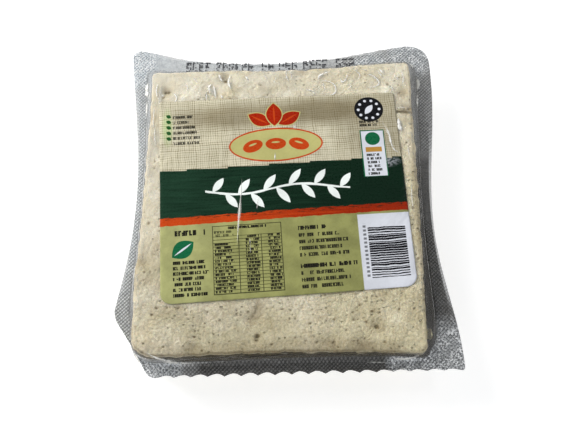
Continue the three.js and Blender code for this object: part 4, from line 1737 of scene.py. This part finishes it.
def printRoundSeal(sheet):
    x, y = roundSeal["middle"]
    ring = roundSeal["dotRing"]
    sheet.lay(sheet.oval((x, y), (roundSeal["radius"],) * 2), inks["black"])
    turns = [index * 2 * math.pi / roundSeal["dots"] for index in range(roundSeal["dots"])]
    dots = [sheet.oval((x + ring * math.cos(turn), y + ring * math.sin(turn)), (roundSeal["dotRadius"],) * 2)
            for turn in turns]
    sheet.lay(sheet.either(dots), inks["white"])
    sheet.lay(sheet.leafShape((x, y), *roundSeal["leaf"]), inks["white"])


def printPanel(sheet):  # a white panel with a green edge, a disc and a gold bar
    sheet.lay(sheet.box(83.7, 93.8, 48.9, 70.9), inks["pineGreen"])
    sheet.lay(sheet.box(84.2, 93.4, 49.1, 70.4), inks["white"])
    sheet.lay(sheet.oval((88.8, 66.7), (3.1, 3.1)), inks["pineGreen"])
    sheet.lay(sheet.box(85.5, 92.2, 60.4, 62.7), inks["gold"])


def printGlare(sheet):  # a painted glare patch at the right end of the band, where the label reflects light
    glare = ramp(sheet.tree, noiseField(sheet.tree, sheet.place, 0.9, 2.0), (0.4, 0.05), (0.6, 0.4))
    sheet.lay(times(sheet.tree, sheet.oval((94.5, 55.4), (3.8, 1.8), 0.1, 1.8), glare), inks["white"])


def printBullets(sheet):  # green leaves in a pale green glow
    glow = sheet.oval((3.4, 76.6), (2.0, 7.2), 0.0, 1.6)
    sheet.lay(times(sheet.tree, glow, 0.5), inks["leafGlow"])
    leaves = [sheet.leafShape((3.9, 81.8 - 2.6 * index), 2.4, 1.7, -0.5) for index in range(5)]
    sheet.lay(sheet.either(leaves), inks["leaf"])


sprig = {  # a white brush-drawn twig along the green band
    "height": 46.0,
    "wave": (1.5, 0.135, 0.2),  # reach, turn in each millimetre and start
    "ends": (18.5, 77.5, 38, 54),
    "leaves": 11,
    "firstLeaf": 21.5,
    "leafPitch": 5.2,
    "leafLength": 9.0,
    "leafWidth": 3.0,
    "leafTurn": 0.92,
    "shorter": 0.25,  # each leaf away from the middle one
}


def printSprig(sheet):
    tree = sheet.tree
    reach, turning, start = sprig["wave"]
    stem = scaled(tree, maths(tree, "SINE", scaled(tree, sheet.u, turning, start)), reach, sprig["height"])
    away = size(tree, minus(tree, sheet.v, stem))
    pressure = noiseField(tree, joined(tree, sheet.u, 0.0), 0.14, 1.0)
    line = scaled(tree, minus(tree, scaled(tree, pressure, 0.7, 0.12), away), 6.0, 0.5, clamp=True)
    strokes = [times(tree, line, sheet.box(*sprig["ends"]))]
    for index in range(sprig["leaves"]):
        across = sprig["firstLeaf"] + sprig["leafPitch"] * index
        height = sprig["height"] + reach * math.sin(across * turning + start)
        length = sprig["leafLength"] - sprig["shorter"] * abs(index - sprig["leaves"] // 2)
        turn = sprig["leafTurn"] if index % 2 == 0 else -sprig["leafTurn"]
        middle = (across + length / 2 * math.cos(turn), height + length / 2 * math.sin(turn))
        strokes.append(sheet.leafShape(middle, length, sprig["leafWidth"], turn))
    sheet.lay(sheet.either(strokes), inks["bright"])


def printLeafMark(sheet):
    sheet.lay(sheet.leafShape((9.0, 22.0), 10.6, 7.4, 0.62), inks["pineGreen"])
    sheet.lay(sheet.leafShape((9.0, 22.0), 8.4, 0.8, 0.62), inks["white"])


table = {  # a ruled table with small marks in its cells
    "frame": (20.85, 48.55, 2.25, 31.15),
    "line": 0.3,
    "rowPitch": 1.41,
    "rowShare": 0.19,
    "base": 2.4,
    "rowsTop": 26.6,
    "columns": (31.3, 40.3),
}


def printTable(sheet):
    tree = sheet.tree
    left, right, low, high = table["frame"]
    line, base, rowsTop = table["line"], table["base"], table["rowsTop"]
    frameBox = minus(tree, sheet.box(left, right, low, high),
                     sheet.box(left + line, right - line, low + line, high - line))
    rowPart = maths(tree, "FRACT", maths(tree, "DIVIDE", minus(tree, sheet.v, base), table["rowPitch"]))
    rowLine = times(tree, maths(tree, "LESS_THAN", rowPart, table["rowShare"]),
                    sheet.box(21, 48.4, base, rowsTop))
    columns = [sheet.box(place - line / 2, place + line / 2, base, rowsTop) for place in table["columns"]]
    lines = sheet.either([frameBox, times(tree, rowLine, 0.85)] + columns)
    sheet.lay(times(tree, lines, 0.92), inks["text"])


textBlocks = [  # as wordLines takes them
    (5.2, 18.0, 30.1, 2.9, 1, 2.3, 0.0, 1.45, 1.6),
    (5.0, 19.4, 17.2, 2.22, 7, 1.4, 0.25, 0.8, 1.5),
    (21.6, 30.4, 23.7, 1.41, 15, 1.05, 0.3, 0.62, 1.3),
    (34.0, 39.8, 26.5, 1.41, 17, 1.05, 0.2, 0.62, 1.2),
    (43.0, 48.2, 26.5, 1.41, 17, 1.05, 0.2, 0.62, 1.2),
    (27.0, 42.5, 30.6, 1.2, 1, 1.15, 0.0, 0.7, 1.4),
    (21.6, 30.0, 28.9, 1.4, 2, 1.0, 0.2, 0.6, 0.5),
    (55.2, 66.5, 28.8, 2.8, 1, 1.75, 0.0, 0.95, 1.7),
    (55.2, 76.5, 25.6, 2.8, 4, 1.55, 0.25, 0.85, 0.9),
    (55.2, 77.5, 12.6, 2.8, 1, 1.75, 0.0, 0.95, 1.7),
    (55.2, 75.0, 9.6, 2.8, 3, 1.55, 0.2, 0.85, 0.9),
    (5.6, 19.0, 82.0, 2.45, 6, 1.3, 0.6, 0.75, 0.7),
    (83.8, 93.6, 75.6, 1.7, 2, 1.2, 0.25, 0.7, 0.8),
    (85.6, 92.8, 59.6, 1.75, 6, 1.15, 0.3, 0.65, 0.9),
]


def printBars(sheet):  # bars with a column of ticks beside them
    tree = sheet.tree
    sheet.lay(sheet.bars(82.8, 97.8, 4.6, 26.4, 1.0), inks["black"])
    tickPart = maths(tree, "FRACT", maths(tree, "DIVIDE", sheet.v, 1.75))
    ticks = times(tree, maths(tree, "LESS_THAN", tickPart, 0.55), sheet.box(80.9, 82.1, 5, 28, 0.3))
    sheet.lay(times(tree, ticks, 0.75), inks["black"])


def printAll(sheet):  # in the order in which the inks overlap
    for layer in (printLinen, printField, printBand, printBadge, printRoundSeal, printPanel, printGlare,
                  printBullets, printSprig, printLeafMark, printTable):
        layer(sheet)
    sheet.lay(sheet.wordLines(textBlocks), inks["text"])
    printBars(sheet)


def labelMaterial():
    material, tree = newMaterial("printedPaper")
    sheet = PrintSheet(tree)
    printAll(sheet)
    # slow patches, lighter and darker, over the whole print
    worn = noiseField(tree, sheet.place, 0.07, 3.0)
    colour = tinted(tree, sheet.colour, ramp(tree, worn, (0.3, 1.06), (0.7, 0.90)))
    peel = noiseField(tree, sheet.place, 0.9, 2.0)
    normal = bump(tree, peel, 0.25, 0.12)
    output(tree, principled(tree, colour, ramp(tree, peel, (0.3, 0.24), (0.7, 0.36)), normal,
                            Specular_IOR_Level=0.22))
    return material


marks = {
    "words": [(-43.6, 4), (-30.2, 6), (-9.8, 2), (-2.2, 3), (8.6, 4), (23.2, 3)],  # start, glyphs
    "glyphPitch": 2.85,
    "columns": 4,
    "columnPitch": 0.58,
    "rows": 7,
    "rowPitch": 0.86,
    "dotRadius": 0.31,
    "dotStretch": 1.35,
    "printed": (0.84, 0.14),  # share of the dots on a glyph's outline and off it
    "line": (62.2, 62.8),  # y of the lowest row of dots at the left and at the right
    "span": (-44, 30),
}


def makeMarks(material):  # glyphs of dots that spell nothing
    random.seed(11)
    bm = bmesh.new()
    low, high = marks["line"]
    left, right = marks["span"]
    stretch = Matrix.Diagonal((1.0, marks["dotStretch"], 1.0, 1.0))
    columns, rows = range(marks["columns"]), range(marks["rows"])
    for start, glyphs in marks["words"]:
        for glyph, column, row in itertools.product(range(glyphs), columns, rows):
            onOutline = row in (0, 3, marks["rows"] - 1) or column == 0
            if random.random() > marks["printed"][0 if onOutline else 1]:
                continue
            x = start + glyph * marks["glyphPitch"] + column * marks["columnPitch"]
            y = low + (high - low) * (x - left) / (right - left) + row * marks["rowPitch"]
            place = Vector((x, y, slopeHeight(x, y)))
            bmesh.ops.create_circle(bm, cap_ends=True, segments=7, radius=marks["dotRadius"],
                                    matrix=Matrix.Translation(place) @ stretch)
    piece = finishPiece("filmMarks", bm, [material], False)
    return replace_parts(piece, "pack")


def inkMaterial():
    material, tree = newMaterial("filmInk")
    worn = noiseField(tree, objectPlace(tree), 1.2, 2.0)
    colour = mixColour(tree, worn, (0.01, 0.01, 0.014), (0.035, 0.035, 0.045))
    output(tree, principled(tree, colour, 0.45))
    return material


stage = {
    "floor": (0.55, 0.55, 0.55),
    "floorSize": 6.0,
    "floorGlow": 0.69,  # a lit table, so shadows stay soft
    "sky": (0.95, 0.975, 1.0),
    "skyHigh": 0.28,
    "skyLow": 0.95,
}
lights = [  # name, power, place, aim, size, colour, and whether surfaces mirror it
    ("windowLight", 4.7, (-0.46, 0.32, 0.38), (0, 0, 0.02), (0.38, 0.38), (1.0, 0.99, 0.97), False),
    ("fillLight", 0.9, (-0.15, -0.75, 0.45), (0, 0, 0), (0.5, 0.3), (1, 1, 1), True),
    # a small lamp that makes the creases and the knurl sparkle
    ("sideLamp", 0.6, (0.50, 0.14, 0.78), (0, 0, 0), (0.12, 0.12), (1, 1, 1), True),
]
lens = {  # a camera that looks down on the label
    "azimuth": 1.905,
    "elevation": 67.0,
    "roll": -2.708,
    "distance": 368.467,
    "target": (0.994, -5.814, 12.5),
    "focalPixels": 877.084,
    "imageWidth": 577,
    "sensor": 36.0,
}


def makeFloor():
    bm = bmesh.new()
    bmesh.ops.create_grid(bm, x_segments=1, y_segments=1, size=stage["floorSize"])
    mesh = bpy.data.meshes.new("floor")
    bm.to_mesh(mesh)
    bm.free()
    floor = bpy.data.objects.new("floor", mesh)
    scene.collection.objects.link(floor)
    material, tree = newMaterial("paleFloor")
    output(tree, principled(tree, stage["floor"], 0.8, Emission_Color=(1, 1, 1), Specular_IOR_Level=0.0,
                            Emission_Strength=stage["floorGlow"]))
    mesh.materials.append(material)


def makeSky():  # bright towards the horizon, dimmer overhead
    world = bpy.data.worlds.new("studio")
    world.use_nodes = True
    tree = world.node_tree
    rise = parts(tree, tree.nodes.new("ShaderNodeTexCoord").outputs["Generated"])[2]
    strength = ramp(tree, rise, (0.25, stage["skyLow"]), (0.65, stage["skyHigh"]))
    background = tree.nodes["Background"]
    background.inputs["Color"].default_value = (*stage["sky"], 1)
    tree.links.new(strength, background.inputs["Strength"])
    scene.world = world


def makeLight(name, power, place, aim, extent, colour, mirrored):
    data = bpy.data.lights.new(name, "AREA")
    data.shape = "RECTANGLE"
    data.size, data.size_y = extent
    data.energy = power
    data.color = colour
    light = bpy.data.objects.new(name, data)
    light.location = place
    way = Vector(aim) - Vector(place)
    light.rotation_euler = way.to_track_quat("-Z", "Y").to_euler()
    light.visible_glossy = mirrored
    scene.collection.objects.link(light)


def makeCamera():
    turn, rise, roll = (math.radians(lens[name]) for name in ("azimuth", "elevation", "roll"))
    back = Vector((math.sin(turn) * math.cos(rise), -math.cos(turn) * math.cos(rise), math.sin(rise)))
    right = Vector((math.cos(turn), math.sin(turn), 0))
    up = back.cross(right)
    rolledRight = right * math.cos(roll) + up * math.sin(roll)
    rolledUp = up * math.cos(roll) - right * math.sin(roll)
    data = bpy.data.cameras.new("camera")
    data.sensor_width = lens["sensor"]
    data.lens = lens["sensor"] * lens["focalPixels"] / lens["imageWidth"]
    data.clip_start = 0.01
    camera = bpy.data.objects.new("camera", data)
    turned = Matrix((rolledRight, rolledUp, back)).transposed().to_4x4()
    turned.translation = (Vector(lens["target"]) + back * lens["distance"]) * mm
    camera.matrix_world = turned
    scene.collection.objects.link(camera)
    scene.camera = camera


makeCamera()
makeFloor()
makeSky()
scene.view_settings.view_transform = "Standard"
for lightValues in lights:
    makeLight(*lightValues)
print("stage ready")

curdMaterial = tofuMaterial()
makeTofu(curdMaterial)
makeCrumb(curdMaterial)
clearFilm = filmMaterial()
makeTopFilm(clearFilm)
makePocketFilm(clearFilm)
makeFoldWheyAndShade(wheyAndShadeMaterial())
makeFlange(flangeMaterial())
makeLabel(labelMaterial())
creaseHighlights = creaseHighlightMaterial()
makeGlintRibbons("filmCreaseGlints", creaseGlintLines, filmHeight, 0.20, creaseHighlights, "pack")
makeGlintRibbons("sealFootGlints", sealGlints, slopeHeight, 0.35, creaseHighlights, "pack")
makeGlintRibbons("labelCreaseGlints", labelGlints, labelTop, 0.16, creaseHighlights, "label")
makeMarks(inkMaterial())
